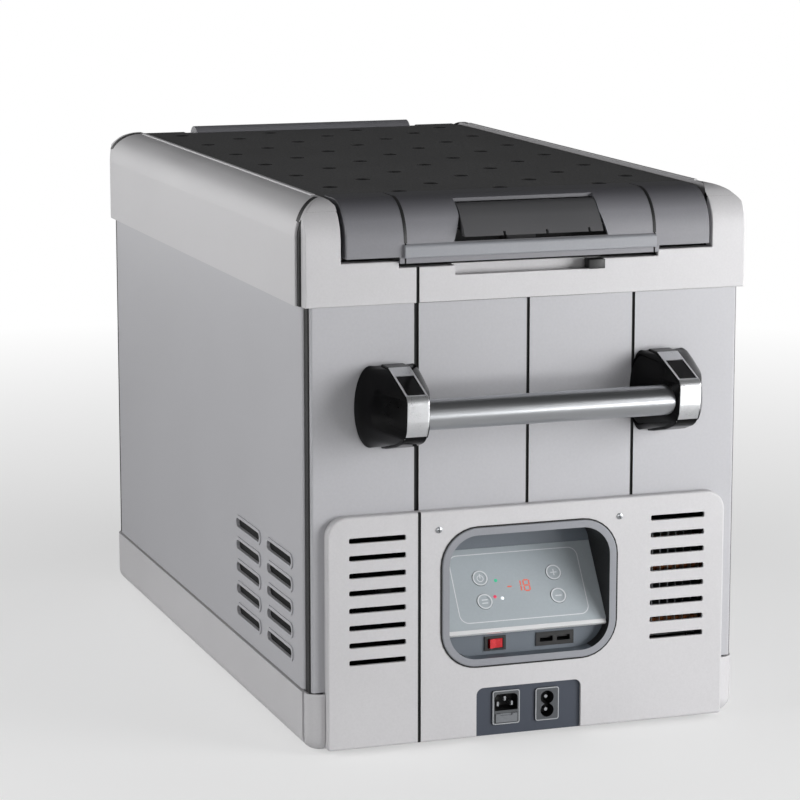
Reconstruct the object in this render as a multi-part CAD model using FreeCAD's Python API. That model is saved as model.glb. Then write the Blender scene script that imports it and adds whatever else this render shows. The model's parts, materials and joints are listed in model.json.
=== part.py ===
"""Chest-type compressor fridge for vehicles: a foamed box with a top lid hinged at
the rear, a compressor bay behind the lower front cover, and a grab handle at each end.

Frame: +Z up, the front faces -Y, width along X. The origin is on the floor, midway
between the two ends and the two sides. All sizes are in millimetres.
"""
import FreeCAD, Part
import math
import os

V = FreeCAD.Vector

# ---- overall sizes ---------------------------------------------------------------
overall_width = 440.0        # across the upper band
body_length = 722.0          # front wall face to rear wall face
rail_top = 512.0             # floor to the top of the side rails
foot_height = 3.0
base_height = 58.0           # floor to the top of the base moulding
band_bottom = 417.0          # floor to the underside of the upper band
band_proud = 4.0             # the upper band stands out from the end walls by this
panel_inset = 6.0            # the side panels sit inside the upper band by this
rail_radius = 32.0           # rounding of the two long top edges
nose_radius = 38.0           # rounding of the front and rear top edges
seam = 1.5                   # visible joint between neighbouring panels
edge_softening = 1.2         # rounding of the mouldings' visible edges
touch_gap = 0.3              # running clearance between parts on different bodies
above_all = 600.0            # a height clear of everything

# ---- walls and skins -------------------------------------------------------------
moulding_wall = 3.0
steel_wall = 2.0
groove_width = 11.0          # dark joint between end wall and side panel
wall_plate_thick = 4.0       # end wall plates
band_groove = 6.0            # the same joint where it crosses the upper band
fascia_inset = 4.5           # the end mouldings stand this far inside the side rails
strip_inset = 2.5            # black strip in the joints, below the neighbouring surfaces
panel_edge = 4.0             # rounding of the side panels' upright edges

# ---- lower front cover, vents and seams ------------------------------------------
cover_width = 396.0
cover_top = 224.0
cover_proud = 9.0
cover_corner = 19.0
vent_count = 8
vent_pitch = 16.4
vent_length = 55.0
vent_height = 5.2
vent_centre = 149.5          # sideways place of each front vent column
vent_bottom = 87.0           # height of the lowest front slot
window_half = 186.0          # opening behind the lower cover
window_bottom = 30.0
window_top = 212.0
seam_left = -109.0           # deep upright joint through band, wall and cover
seam_right = 105.0
seam_wide = 4.5
seam_narrow = 3.0
seam_deep = 3.0
seam_shallow = 2.4
side_slot_length = 78.0
side_slot_height = 9.0
side_slot_rows = 5
side_slot_pitch = 22.0
side_slot_bottom = 85.0
side_slot_columns = (86.0, 190.0)    # distance of each column's centre from the front wall
slot_rim = 3.0
slot_rim_height = 1.3

# ---- tub, collar and foam --------------------------------------------------------
tub_half_width = 160.0
tub_front = 43.0             # tub's front wall, from the front wall face
tub_rear = 63.0              # tub's rear wall, from the rear wall face
tub_floor = 82.0
tub_wall = 2.0
tub_corner = 18.0
shelf_floor = 262.0          # floor of the shallow part above the compressor
bay_depth = 235.0            # compressor bay, from the front wall face
bay_insulation = 40.0        # foam between the bay and the deep part of the tub
collar_top = 478.0
collar_thick = 8.0
rim_gap = 2.0                # the collar's edge stands inside the tub by this

# ---- lid -------------------------------------------------------------------------
lid_top = 510.0
lid_half_width = 184.0
lid_side_gap = 3.0
lid_skin = 3.0
lid_underside = 490.0
lid_front = 26.0             # lid shell's front wall, from the front wall face
lid_front_radius = 30.0
plug_depth = 29.0            # the lid's inner panel reaches this far below the gasket flange
plug_gap = 6.0
gasket_width = 10.0
hinge_inset = 21.0           # hinge axis, from the rear wall face
hinge_height = 500.0
barrel_radius = 16.0
barrel_half_length = 125.0
hinge_pin_radius = 4.0
running_clearance = 0.06
dimple_radius = 7.5
dimple_depth = 1.2
dimple_column_pitch = 50.0
dimple_row_pitch = 106.0

# ---- latch -----------------------------------------------------------------------
hood_half_width = 178.0
hood_front = 7.0             # front face of the lid hood, out from the front wall face
hood_top = 511.5
hood_radius = 39.0
hood_bottom = 460.0
hood_step = 6.0              # the hood's middle part reaches this much lower
hood_step_half = 127.0
hood_back = 58.0             # rear edge of the hood, from the front wall face
notch_gap = 4.0
division_half = 122.0
paddle_half_width = 67.5
paddle_bottom = 477.0
paddle_proud = 8.0           # the paddle's lower edge stands out from the hood by this
paddle_skin = 3.5
window_flare = 8.0           # the hood's window is wider than the paddle by this at the bottom
paddle_knuckle = 10.0
paddle_notches = (-29.0, 12.5, 54.0)    # sideways places of the notches in the lower edge
paddle_seat_angle = 130.0    # where the knuckle touches the hood's curve, from the rear
paddle_pin_radius = 2.0
latch_clearance = 0.5
apron_height = 449.0         # underside of the gutter in front of the collar
finger_half_width = 73.0
finger_depth = 13.0
finger_floor = 441.0

# ---- handles ---------------------------------------------------------------------
pod_outer = 143.0            # outer face of each pod, from the middle
pod_width = 22.0
pod_reach = 72.0
pod_low = 284.0
pod_high = 362.0
tube_radius = 14.0
tube_out = 52.0              # tube centre, out from the wall
tube_height = 323.0
tube_socket = 9.0
cap_width = 17.0
cap_length = 35.0
cap_sunk = 0.6               # the cap's face lies this far below the chamfer
cap_thick = 2.4
cap_start = 16.0             # from the pod's top corner, down the chamfer
cap_pocket = 5.0
screw_radius = 3.0

# ---- control panel ---------------------------------------------------------------
bezel_width = 174.0
bezel_height = 132.0
bezel_middle = 139.5         # height of the bezel's centre
bezel_corner = 35.0
bezel_rim = 7.0
bezel_proud = 1.5
bezel_wall = 3.0
recess_back = 42.0           # back wall of the recess, inward from the front wall face
plate_low = (4.0, 107.0)     # lower edge of the display plate: out from the wall, height
plate_high = (-38.0, 168.0)  # its upper edge
plate_thick = 3.5
key_radius = 7.6
key_gap = 0.35
key_proud = 0.6
key_travel = 1.2
flange_depth = 1.2           # back of each key's flange, behind the plate
key_across = 37.0            # keys left and right of the middle
key_rows = (27.0, 50.5)      # distance of each row up the plate
trim_height = 4.0
shelf_inset = -3.0           # face below the plate, out from the wall
switch_x = -30.0
switch_z = 91.0
switch_size = (21.0, 13.5)
rocker_size = (14.5, 8.6)
rocker_tilt = 8.0
pivot_radius = 1.0
pivot_half = 5.0
usb_x = 30.0
usb_size = (38.0, 13.0)
usb_port = (13.0, 5.2)

# ---- power sockets ---------------------------------------------------------------
power_half_width = 52.5
power_top = 52.0
power_bottom = 5.0
power_corner = 7.0
power_recess = 3.0
power_lap = 3.0              # the panel reaches behind the cover by this
ac_left = -36.0
ac_size = (27.5, 33.0)
dc_left = 7.0
dc_size = (24.0, 32.0)
socket_bottom = 14.5
inlet_depth = 26.0
socket_depth = 15.5

# ---- cooling unit ----------------------------------------------------------------
hub_radius = 19.0            # the fan's hub and its motor
shaft_radius = 2.0
motor_depth = 4.0
compressor_x = -84.0
compressor_setback = 18.0    # gap between the compressor and the bay's back
compressor_radius = 62.0
compressor_bottom = 30.0
compressor_height = 136.0
grommet_height = 12.0
mount_thick = 2.0            # steel plate under the grommets
mount_margin = 10.0          # plate beyond the grommets' centres
feet_thick = 3.0
stud_radius = 3.0
stud_proud = 8.0
stud_hole = 4.2
stub_reach = 12.0            # pipe stubs stand out from the shell by this
grommet_across = 58.0
grommet_along = 50.0
fan_x = 148.0
fan_size = 104.0
fan_depth = 25.0
fan_bottom = 80.0
fan_bore = 49.0
blade_count = 7
blade_clearance = 1.5
condenser_depth = 22.0
fin_count = 12
fin_thick = 0.8
coil_radius = 4.0
coil_passes = 4
pipe_radius = 3.0

# ---- worked-out places -----------------------------------------------------------
half_width = overall_width / 2
front = -body_length / 2
rear = body_length / 2
band_front = front - band_proud
panel_face = half_width - panel_inset
frame_face = front + wall_plate_thick
frame_back = frame_face + groove_width
panel_front = frame_back
inner_rail = lid_half_width + lid_side_gap
tub_y = (front + tub_front, rear - tub_rear)
bay_back = front + bay_depth
deep_front = bay_back + bay_insulation
hinge_y = rear - hinge_inset
hood_centre = (front - hood_front + hood_radius, hood_top - hood_radius)
floor_top = foot_height + 4.0
cover_face = front - cover_proud
cover_bottom = foot_height + 2.0


# ---- small shape tools -----------------------------------------------------------
def block(x, y, z):
    """Box between two x, two y and two z values."""
    return Part.makeBox(x[1] - x[0], y[1] - y[0], z[1] - z[0], V(x[0], y[0], z[0]))


def wide_block(half, y, z):
    """Box centred across the width."""
    return block((-half, half), y, z)


def rod(radius, start, end):
    """Solid cylinder from start to end."""
    axis = V(*end) - V(*start)
    return Part.makeCylinder(radius, axis.Length, V(*start), axis)


def outline(corners, place):
    """Closed wire through corners (a, b) or (a, b, radius); place maps a, b to a point."""
    points = [V(c[0], c[1], 0) for c in corners]
    radii = [c[2] if len(c) > 2 else 0.0 for c in corners]
    edges, starts, ends, arcs = [], [], [], []
    for i, point in enumerate(points):
        back = (points[i - 1] - point).normalize()
        ahead = (points[(i + 1) % len(points)] - point).normalize()
        half_turn = back.getAngle(ahead) / 2
        if radii[i] <= 0:
            starts.append(point)
            ends.append(point)
            arcs.append(None)
            continue
        reach = radii[i] / math.tan(half_turn)
        bisector = (back + ahead).normalize()
        centre = point + bisector * (radii[i] / math.sin(half_turn))
        starts.append(point + back * reach)
        ends.append(point + ahead * reach)
        arcs.append(centre - bisector * radii[i])
    for i in range(len(points)):
        if arcs[i] is not None:
            ring = [place(p.x, p.y) for p in (starts[i], arcs[i], ends[i])]
            edges.append(Part.Arc(*ring).toShape())
        following = starts[(i + 1) % len(points)]
        if (following - ends[i]).Length > 1e-6:
            a = place(ends[i].x, ends[i].y)
            b = place(following.x, following.y)
            edges.append(Part.LineSegment(a, b).toShape())
    return Part.Wire(edges)


def prism_x(corners, x):
    """Prism along X of an outline given as (y, z) corners."""
    face = Part.Face(outline(corners, lambda a, b: V(x[0], a, b)))
    return face.extrude(V(x[1] - x[0], 0, 0))


def prism_y(corners, y):
    """Prism along Y of an outline given as (x, z) corners."""
    face = Part.Face(outline(corners, lambda a, b: V(a, y[0], b)))
    return face.extrude(V(0, y[1] - y[0], 0))


def prism_z(corners, z):
    """Prism along Z of an outline given as (x, y) corners."""
    face = Part.Face(outline(corners, lambda a, b: V(a, b, z[0])))
    return face.extrude(V(0, 0, z[1] - z[0]))


def rectangle(a, b, radius=0.0):
    """Corners of a rectangle between two a and two b values, all with one radius."""
    return [(a[0], b[0], radius), (a[1], b[0], radius), (a[1], b[1], radius), (a[0], b[1], radius)]


def revolve(corners, base):
    """Body of revolution about the vertical through base; corners are (radius, height)."""
    face = Part.Face(outline(corners, lambda a, b: V(base[0] + a, base[1], b)))
    return face.revolve(V(base[0], base[1], 0), V(0, 0, 1), 360)


def fuse(first, *others):
    """One solid out of several that touch or overlap."""
    return first.fuse(list(others)).removeSplitter()


def cut(body, *tools):
    """The body with every tool taken away."""
    return body.cut(list(tools))


def group(shapes):
    """Separate solids kept in one node."""
    return Part.makeCompound(shapes)


def across(shape):
    """The same shape on the other side of the width."""
    return shape.mirror(V(0, 0, 0), V(1, 0, 0))


def other_end(shape):
    """The same shape at the rear end."""
    return shape.mirror(V(0, 0, 0), V(0, 1, 0))


def both_sides(shape):
    """A shape and its mirror image across the width, as a list."""
    return [shape, across(shape)]


def bent_tube(points, radius, bend):
    """Round bar along straight runs joined by tangent arcs of one bend radius."""
    route = [V(*p) for p in points]
    edges = []
    at = route[0]
    for i in range(1, len(route) - 1):
        back = (route[i - 1] - route[i]).normalize()
        ahead = (route[i + 1] - route[i]).normalize()
        half_turn = back.getAngle(ahead) / 2
        reach = bend / math.tan(half_turn)
        middle = (back + ahead).normalize()
        centre = route[i] + middle * (bend / math.sin(half_turn))
        leave, join = route[i] + back * reach, route[i] + ahead * reach
        if (leave - at).Length > 1e-4:
            edges.append(Part.LineSegment(at, leave).toShape())
        edges.append(Part.Arc(leave, centre - middle * bend, join).toShape())
        at = join
    edges.append(Part.LineSegment(at, route[-1]).toShape())
    section = Part.Wire(Part.makeCircle(radius, route[0], route[1] - route[0]))
    return Part.Wire(edges).makePipeShell([section], True, False)


# ---- shared forms ----------------------------------------------------------------
def band_form(inset, floor=0.0):
    """Rounded volume of the upper band, made smaller by inset, its underside raised by floor."""
    side, low, high = half_width - inset, band_bottom + floor, rail_top - inset
    end = rear + band_proud - inset
    round_side, round_end = rail_radius - inset, nose_radius - inset
    over = prism_y([(-side, low), (side, low), (side, high, round_side), (-side, high, round_side)],
                   (-end, end))
    along = prism_x([(-end, low), (end, low), (end, high, round_end), (-end, high, round_end)],
                    (-side, side))
    return over.common(along)


def notch_form(gap, y, step=hood_step):
    """Space that the lid hood drops into, widened by gap, between two y values."""
    half, low = hood_half_width + gap, hood_bottom - gap
    stepped = [(-hood_step_half, low), (-hood_step_half, low - step),
               (hood_step_half, low - step), (hood_step_half, low)] if step else []
    corners = [(-half, rail_top + 20), (-half, low)] + stepped + [(half, low), (half, rail_top + 20)]
    return prism_y(corners, y)


def tub_form(grow):
    """Volume inside the tub, grown by grow: a deep part and a shallow part in front."""
    half, radius = tub_half_width + grow, tub_corner + grow
    top = collar_top
    shallow = prism_z(rectangle((-half, half), (tub_y[0] - grow, tub_y[1] + grow), radius),
                      (shelf_floor - grow, top))
    deep = prism_z(rectangle((-half, half), (deep_front - grow, tub_y[1] + grow), radius),
                   (tub_floor - grow, top))
    return fuse(shallow, deep)


# ---- base ------------------------------------------------------------------------
def feet():
    """Four rubber feet, each with a hollow for its screw."""
    radius, edge = 17.0, 1.0
    shapes = []
    for x in (-175.0, 175.0):
        for y in (front + 55.0, rear - 55.0):
            disc = rod(radius, (x, y, 0), (x, y, foot_height))
            disc = disc.makeChamfer(edge, [disc.Edges[2]])
            shapes.append(disc.cut(rod(5.0, (x, y, 0), (x, y, foot_height / 2))))
    return group(shapes)


def base_tray():
    """Base moulding: a tray with rounded lower edges and a recess for the lower cover."""
    half, end, wall, radius = panel_face + 2.0, rear + 3.0, 4.0, 14.0
    corner, clear, joint_wide, joint_deep = 18.0, 0.5, 4.0, 2.5
    outer = prism_z(rectangle((-half, half), (-end, end), corner), (foot_height, base_height))
    low_edges = [e for e in outer.Edges if abs(e.BoundBox.ZMax - foot_height) < 0.01]
    outer = outer.makeFillet(radius, low_edges)
    inner = prism_z(rectangle((wall - half, half - wall), (wall - end, end - wall), corner - wall),
                    (floor_top, base_height + 1))
    low_edges = [e for e in inner.Edges if abs(e.BoundBox.ZMax - floor_top) < 0.01]
    inner = inner.makeFillet(radius - wall, low_edges)
    tray = outer.cut(inner)
    cover_half = cover_width / 2 + clear
    tray = tray.cut(wide_block(cover_half, (-end - 1, front), (cover_bottom - clear, base_height + 1)))
    socket_half = power_half_width + power_lap
    front_wall_strip = wide_block(cover_half, (front, front + wall), (floor_top - 1, base_height))
    tray = fuse(tray, front_wall_strip)
    tray = tray.cut(wide_block(socket_half, (front - 1, front + wall + 1), (floor_top, base_height + 1)))
    groove_y = frame_back - band_groove
    joint = wide_block(half + 1, (groove_y, groove_y + joint_wide), (foot_height - 1, base_height + 1))
    joint = joint.cut(wide_block(half - joint_deep, (groove_y - 1, groove_y + joint_wide + 1),
                                 (0, base_height + 2)))
    return cut(tray, joint, other_end(joint))


# ---- side panels and upper band --------------------------------------------------
def side_slot(y, z, grow, x):
    """One rounded slot volume through a side panel."""
    half_length = side_slot_length / 2 + grow
    half_height = side_slot_height / 2 + grow
    corners = rectangle((y - half_length, y + half_length), (z - half_height, z + half_height),
                        half_height - 0.01)
    return prism_x(corners, x)


def left_side_panel():
    """Folded side panel with rounded upright edges and rimmed air slots."""
    face, radius, lip, wall = -panel_face, panel_edge, 20.0, steel_wall
    low, high = base_height + seam, band_bottom
    y0, y1 = panel_front, -panel_front
    outer = prism_z([(face, y0, radius), (face + lip, y0), (face + lip, y1), (face, y1, radius)],
                    (low, high))
    inner = prism_z([(face + wall, y0 + wall, radius - wall), (face + lip + 1, y0 + wall),
                     (face + lip + 1, y1 - wall), (face + wall, y1 - wall, radius - wall)],
                    (low - 1, high + 1))
    panel = outer.cut(inner)
    rims, slots = [], []
    for column in side_slot_columns:
        for row in range(side_slot_rows):
            y, z = front + column, side_slot_bottom + row * side_slot_pitch
            rims.append(side_slot(y, z, slot_rim, (face - slot_rim_height, face + 0.5)))
            slots.append(side_slot(y, z, 0.0, (face - 5, face + wall + 1)))
    return cut(fuse(panel, *rims), *slots)


def left_top_rail():
    """Hollow rail along the lid, rounded over its top outer edge."""
    end = -frame_back
    wall = moulding_wall
    outer = band_form(0.0).common(block((-half_width - 1, -inner_rail), (-end, end), (0, above_all)))
    rims = [e for e in outer.Edges if e.BoundBox.YLength < 0.01 and e.BoundBox.ZLength > 5.0
            and e.BoundBox.XMin < -inner_rail - 1]
    outer = outer.makeFillet(edge_softening, rims)
    space = block((-half_width, -inner_rail - wall), (-end - 1, end + 1), (0, above_all))
    hollow = band_form(wall, wall).common(space)
    bead_outer, bead_inner, bead_rise, bead_round = -inner_rail - 5.0, -inner_rail - 1.2, 1.2, 0.8
    bead = prism_y([(bead_outer, rail_top - 1), (bead_inner, rail_top - 1),
                    (bead_inner, rail_top + bead_rise, bead_round),
                    (bead_outer, rail_top + bead_rise, bead_round)],
                   (nose_radius - end, end - nose_radius))
    return fuse(outer.cut(hollow), bead)


def fascia(step):
    """Moulding of the upper band at one end, notched for the lid hood."""
    wall, back = 3.5, frame_back - band_groove
    half = half_width - fascia_inset
    slab = wide_block(half, (band_front - 1, back), (0, above_all))
    hollow = band_form(wall).common(wide_block(half - wall, (band_front, back + 1), (0, above_all)))
    lining = notch_form(notch_gap + moulding_wall, (band_front, back), step).common(band_form(0.0))
    shell = fuse(band_form(0.0).common(slab).cut(hollow), lining)
    return shell.cut(notch_form(notch_gap, (band_front - 5, back + 5), step))


def soft_rims(moulding, step):
    """Rounds the front edges of an end moulding: its outline and those of the notch."""
    low = hood_bottom - notch_gap
    uprights = (half_width - fascia_inset, hood_half_width + notch_gap, hood_step_half)
    levels = (band_bottom, low, low - step)
    rims = []
    for edge in moulding.Edges:
        box = edge.BoundBox
        if abs(box.YMin - band_front) > 0.01:
            continue
        upright = box.XLength < 0.01 and box.ZLength > 3.0
        level = box.YLength < 0.01 and box.ZLength < 0.01
        if upright and any(abs(abs(box.XMin) - x) < 0.01 for x in uprights):
            rims.append(edge)
        if level and any(abs(box.ZMin - z) < 0.01 for z in levels):
            rims.append(edge)
    return moulding.makeFillet(edge_softening, rims)


def finger_pocket(grow):
    """Finger recess under the lid hood, made larger by grow."""
    half, depth = finger_half_width + grow, finger_depth + grow
    return wide_block(half, (band_front + 1 - min(grow, 0.5), band_front + depth),
                      (finger_floor - grow, hood_bottom - hood_step - notch_gap + 0.1))


def front_fascia():
    """Upper front moulding: two arms beside the lid hood, and the finger recess below it."""
    mouth = wide_block(finger_half_width, (band_front - 1, band_front + 2), (finger_floor, hood_bottom))
    reach = seam_narrow / 2
    groove = block((seam_left - reach, seam_left + reach), (band_front - 1, band_front + seam_shallow),
                   (band_bottom - 1, hood_bottom))
    moulding = cut(fuse(fascia(hood_step), finger_pocket(2.5)), finger_pocket(0.0), mouth, groove)
    return soft_rims(moulding, hood_step)


def rear_fascia():
    """Upper rear moulding: the same outline with no recess, notched for the hinge housing."""
    return other_end(soft_rims(fascia(0.0), 0.0))


def screw_places():
    """Places of the handle screws at the front, as (x, z)."""
    x = pod_outer - pod_width / 2
    return [(-x, tube_height + 26.0), (x, tube_height + 26.0)]


def end_frame(step):
    """Black frame behind an end wall, seen in the joints round it."""
    half, gap = panel_face - 8.0, 0.2
    foot, band_inset, band_depth = floor_top + 13.0, 9.0, 6.0
    head_radius, head_depth = screw_radius + 2.4, 4.2
    lower = wide_block(half, (frame_face, frame_back), (foot, band_bottom))
    middle = wide_block(half_width - band_inset, (frame_face, frame_back),
                        (band_bottom - 1, rail_top)).common(band_form(band_depth, -1.0))
    upright_strips = wide_block(panel_face - strip_inset, (frame_face, frame_back),
                                (base_height, band_bottom))
    band_strip = wide_block(half_width, (frame_back - band_groove, frame_back),
                            (band_bottom - 1, rail_top)).common(band_form(strip_inset, 0.0))
    frame = fuse(lower, middle, upright_strips, band_strip)
    wide_notch = notch_form(notch_gap + moulding_wall + gap,
                            (frame_face - 5, frame_back - band_groove + gap), step)
    tools = [wide_notch, notch_form(notch_gap, (frame_face - 5, frame_back + 5), step)]
    for x, z in screw_places():
        tools.append(rod(screw_radius, (x, frame_face - 1, z), (x, frame_back + 1, z)))
        tools.append(rod(head_radius, (x, frame_back - head_depth, z), (x, frame_back + 1, z)))
    return cut(frame, *tools)


def front_frame():
    """Front end frame, open behind the lower cover and the finger recess."""
    window = wide_block(window_half, (frame_face - 1, frame_back + 1), (window_bottom, window_top))
    sockets = wide_block(power_half_width + 3.0, (frame_face - 1, frame_back + 1), (0, window_bottom + 1))
    return cut(end_frame(hood_step), window, sockets, finger_pocket(2.7))


def wall_plate():
    """Outer plate of an end wall, with softened upright edges."""
    half = panel_face - 4.0
    plate = prism_z([(-half, front, 2.5), (half, front, 2.5), (half, frame_face), (-half, frame_face)],
                    (base_height + seam, band_bottom))
    return plate


def front_wall():
    """Front plate with its three upright grooves, open behind the lower cover."""
    plate = wall_plate()
    window = wide_block(window_half, (front - 1, frame_face + 1), (0, window_top))
    tools = [window]
    for x, width, depth in ((seam_left, seam_wide, seam_deep), (0.0, seam_narrow, seam_shallow),
                            (seam_right, seam_narrow, seam_shallow)):
        tools.append(block((x - width / 2, x + width / 2), (front - 1, front + depth),
                           (cover_top - 6, band_bottom + 1)))
    for x, z in screw_places():
        tools.append(rod(screw_radius, (x, front - 1, z), (x, frame_face + 1, z)))
    return cut(plate, *tools)


def rear_wall():
    """Rear plate, plain but for the holes of the handle screws."""
    holes = [rod(screw_radius, (x, front - 1, z), (x, frame_face + 1, z)) for x, z in screw_places()]
    return other_end(cut(wall_plate(), *holes))


# ---- lower front cover -----------------------------------------------------------
def lower_cover():
    """Raised cover over the compressor bay, with two vent grilles and two openings."""
    half, wall = cover_width / 2, moulding_wall
    rim_round, vent_end, groove_deep, screw_x, screw_z = 2.2, 1.6, 2.0, 90.0, 206.0
    outer = prism_y([(-half, cover_bottom, 3), (half, cover_bottom, 3),
                     (half, cover_top, cover_corner), (-half, cover_top, cover_corner)],
                    (cover_face, front))
    rim = [e for e in outer.Edges if e.BoundBox.YMax < cover_face + 0.01]
    outer = outer.makeFillet(rim_round, rim)
    inside = cover_corner - wall
    hollow = prism_y([(wall - half, cover_bottom + wall, 1), (half - wall, cover_bottom + wall, 1),
                      (half - wall, cover_top - wall, inside), (wall - half, cover_top - wall, inside)],
                     (cover_face + wall, front + 1))
    tools = [hollow]
    for side in (-1, 1):
        for row in range(vent_count):
            z = vent_bottom + row * vent_pitch
            x = side * vent_centre
            tools.append(prism_y(rectangle((x - vent_length / 2, x + vent_length / 2),
                                           (z - vent_height / 2, z + vent_height / 2), vent_end),
                                 (cover_face - 1, cover_face + wall + 1)))
    tools.append(prism_y(bezel_outline(bezel_rim - bezel_wall), (cover_face - 1, front + 2)))
    tools.append(prism_y([(-power_half_width, 0), (power_half_width, 0),
                          (power_half_width, power_top, power_corner),
                          (-power_half_width, power_top, power_corner)], (cover_face - 1, front + 2)))
    reach = seam_narrow / 2
    tools.append(block((seam_left - reach, seam_left + reach),
                       (cover_face - 1, cover_face + groove_deep), (0, cover_top + 1)))
    for x in (-screw_x, screw_x):
        tools.append(rod(2.0, (x, cover_face - 1, screw_z), (x, front, screw_z)))
    return cut(outer, *tools)


# ---- control panel ---------------------------------------------------------------
def bezel_outline(inset):
    """Rounded outline of the control bezel, made smaller by inset."""
    half, tall = bezel_width / 2 - inset, bezel_height / 2 - inset
    return rectangle((-half, half), (bezel_middle - tall, bezel_middle + tall), bezel_corner - inset)


def plate_frame():
    """Lower edge, direction up the display plate, and its outward normal."""
    low = V(0, front - plate_low[0], plate_low[1])
    high = V(0, front - plate_high[0], plate_high[1])
    up = (high - low).normalize()
    outward = V(0, -up.z, up.y)
    return low, up, outward, (high - low).Length


def on_plate(across_x, along, out):
    """Point on the display plate: sideways, up the plate and out from its face."""
    low, up, outward, _ = plate_frame()
    return V(across_x, 0, 0) + low + up * along + outward * out


def plate_slab(half, along, out):
    """Slab parallel to the display plate."""
    corners = [on_plate(0, a, o) for a, o in ((along[0], out[0]), (along[1], out[0]),
                                              (along[1], out[1]), (along[0], out[1]))]
    return prism_x([(c.y, c.z) for c in corners], (-half, half))


def control_bezel():
    """Bezel ring and recess walls, with the face that carries the switch and the ports."""
    back = front + recess_back
    rim_round, hole_half, hole_tall, below_plate = 1.2, 9.5, 5.5, 3.0
    ring = prism_y(bezel_outline(0.0), (cover_face - bezel_proud, cover_face))
    rim = [e for e in ring.Edges if e.BoundBox.YMax < cover_face - bezel_proud + 0.01]
    ring = ring.makeFillet(rim_round, rim)
    sleeve = prism_y(bezel_outline(bezel_rim - bezel_wall + 0.2), (cover_face, back + bezel_wall))
    body = fuse(ring, sleeve)
    inner = prism_y(bezel_outline(bezel_rim), (cover_face - 3, back))
    shelf_face = front - shelf_inset
    shelf = wide_block(bezel_width, (shelf_face, shelf_face + bezel_wall),
                       (0, plate_low[1] - below_plate))
    inside = prism_y(bezel_outline(bezel_rim - 0.5), (front - 30, back + 1))
    body = fuse(body.cut(inner), shelf.common(inside))
    switch_hole = block((switch_x - hole_half, switch_x + hole_half), (shelf_face - 1, back + 9),
                        (switch_z - hole_tall, switch_z + hole_tall))
    usb_hole = block((usb_x - usb_size[0] / 2 + 1, usb_x + usb_size[0] / 2 - 1),
                     (shelf_face - 1, back + 9), (switch_z - 5.0, switch_z + 5.0))
    behind = plate_slab(200, (-80, plate_frame()[3] + 1), (-200, -plate_thick - 0.15))
    behind = behind.common(wide_block(200, (front + 20, 0), (0, 300)))
    return cut(body, switch_hole, usb_hole, behind)


def display_plate():
    """Tilted display plate with a round opening for each key."""
    half = bezel_width / 2 - bezel_rim - 0.3
    length = plate_frame()[3]
    plate = plate_slab(half, (0, length), (-plate_thick, 0))
    inside = prism_y(bezel_outline(bezel_rim + 0.3), (front - 30, 0))
    holes = [key_body(x, a, key_radius + key_gap, -plate_thick - 1, 1) for x, a in key_places()]
    return cut(plate.common(inside), *holes)


def display_trim():
    """Bright bar along the lower edge of the display plate."""
    half = bezel_width / 2 - bezel_rim - 1.5
    return plate_slab(half, (-trim_height, -0.1), (-plate_thick, 0.8))


def key_places():
    """Sideways place and distance up the plate of the four keys."""
    return [(side * key_across, row) for side in (-1, 1) for row in key_rows]


def key_body(x, along, radius, low, high):
    """Cylinder standing on the display plate."""
    start, end = on_plate(x, along, low), on_plate(x, along, high)
    return rod(radius, tuple(start), tuple(end))


def display_key(index):
    """One round key with a flange behind the plate."""
    x, along = key_places()[index]
    cap = key_body(x, along, key_radius, -plate_thick - 0.5, key_proud)
    dish = key_body(x, along, key_radius - 2.2, key_proud - 0.3, key_proud + 1)
    flange = key_body(x, along, key_radius + 1.0, -plate_thick - flange_depth, -plate_thick - 0.3)
    return cut(fuse(cap, flange), dish)


def display_board():
    """Circuit board behind the plate, with the digit block and four small switches."""
    length = plate_frame()[3]
    board_half, board_thick, switch_high = 70.0, 1.6, 2.0
    digit_half, digit_rows, post_across, post_row = 12.0, (34.0, 46.0), 62.0, 38.0
    top = -plate_thick - flange_depth - key_travel - 3.0
    board = plate_slab(board_half, (8.0, length - 6.0), (top - board_thick, top))
    digits = plate_slab(digit_half, digit_rows, (top, -plate_thick - touch_gap))
    switches = [key_body(x, a, 3.0, top, top + switch_high) for x, a in key_places()]
    posts = [key_body(x, post_row, 2.0, top, -plate_thick) for x in (-post_across, post_across)]
    return fuse(board, digits, *(switches + posts))


def switch_housing():
    """Snap-in housing of the main switch."""
    face = front - shelf_inset
    half_w, half_h = switch_size[0] / 2, switch_size[1] / 2
    rim_thick, can_half, can_tall, can_depth = 1.6, 9.2, 5.2, 14.0
    pocket_half, pocket_tall = rocker_size[0] / 2 + 0.6, rocker_size[1] / 2 + 0.4
    pocket_depth = 7.0
    collar = block((switch_x - half_w, switch_x + half_w), (face - rim_thick, face),
                   (switch_z - half_h, switch_z + half_h))
    can = block((switch_x - can_half, switch_x + can_half), (face - 0.5, face + can_depth),
                (switch_z - can_tall, switch_z + can_tall))
    pocket = block((switch_x - pocket_half, switch_x + pocket_half), (face - 3, face + pocket_depth),
                   (switch_z - pocket_tall, switch_z + pocket_tall))
    y = rocker_axis_y()
    pivot_hole = rod(pivot_radius + running_clearance, (switch_x, y, switch_z - pivot_half - 1),
                     (switch_x, y, switch_z + pivot_half + 1))
    return cut(fuse(collar, can), pocket, pivot_hole)


def rocker_axis_y():
    """Depth of the upright axis that the rocker turns about."""
    return front - shelf_inset + 2.0


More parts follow.
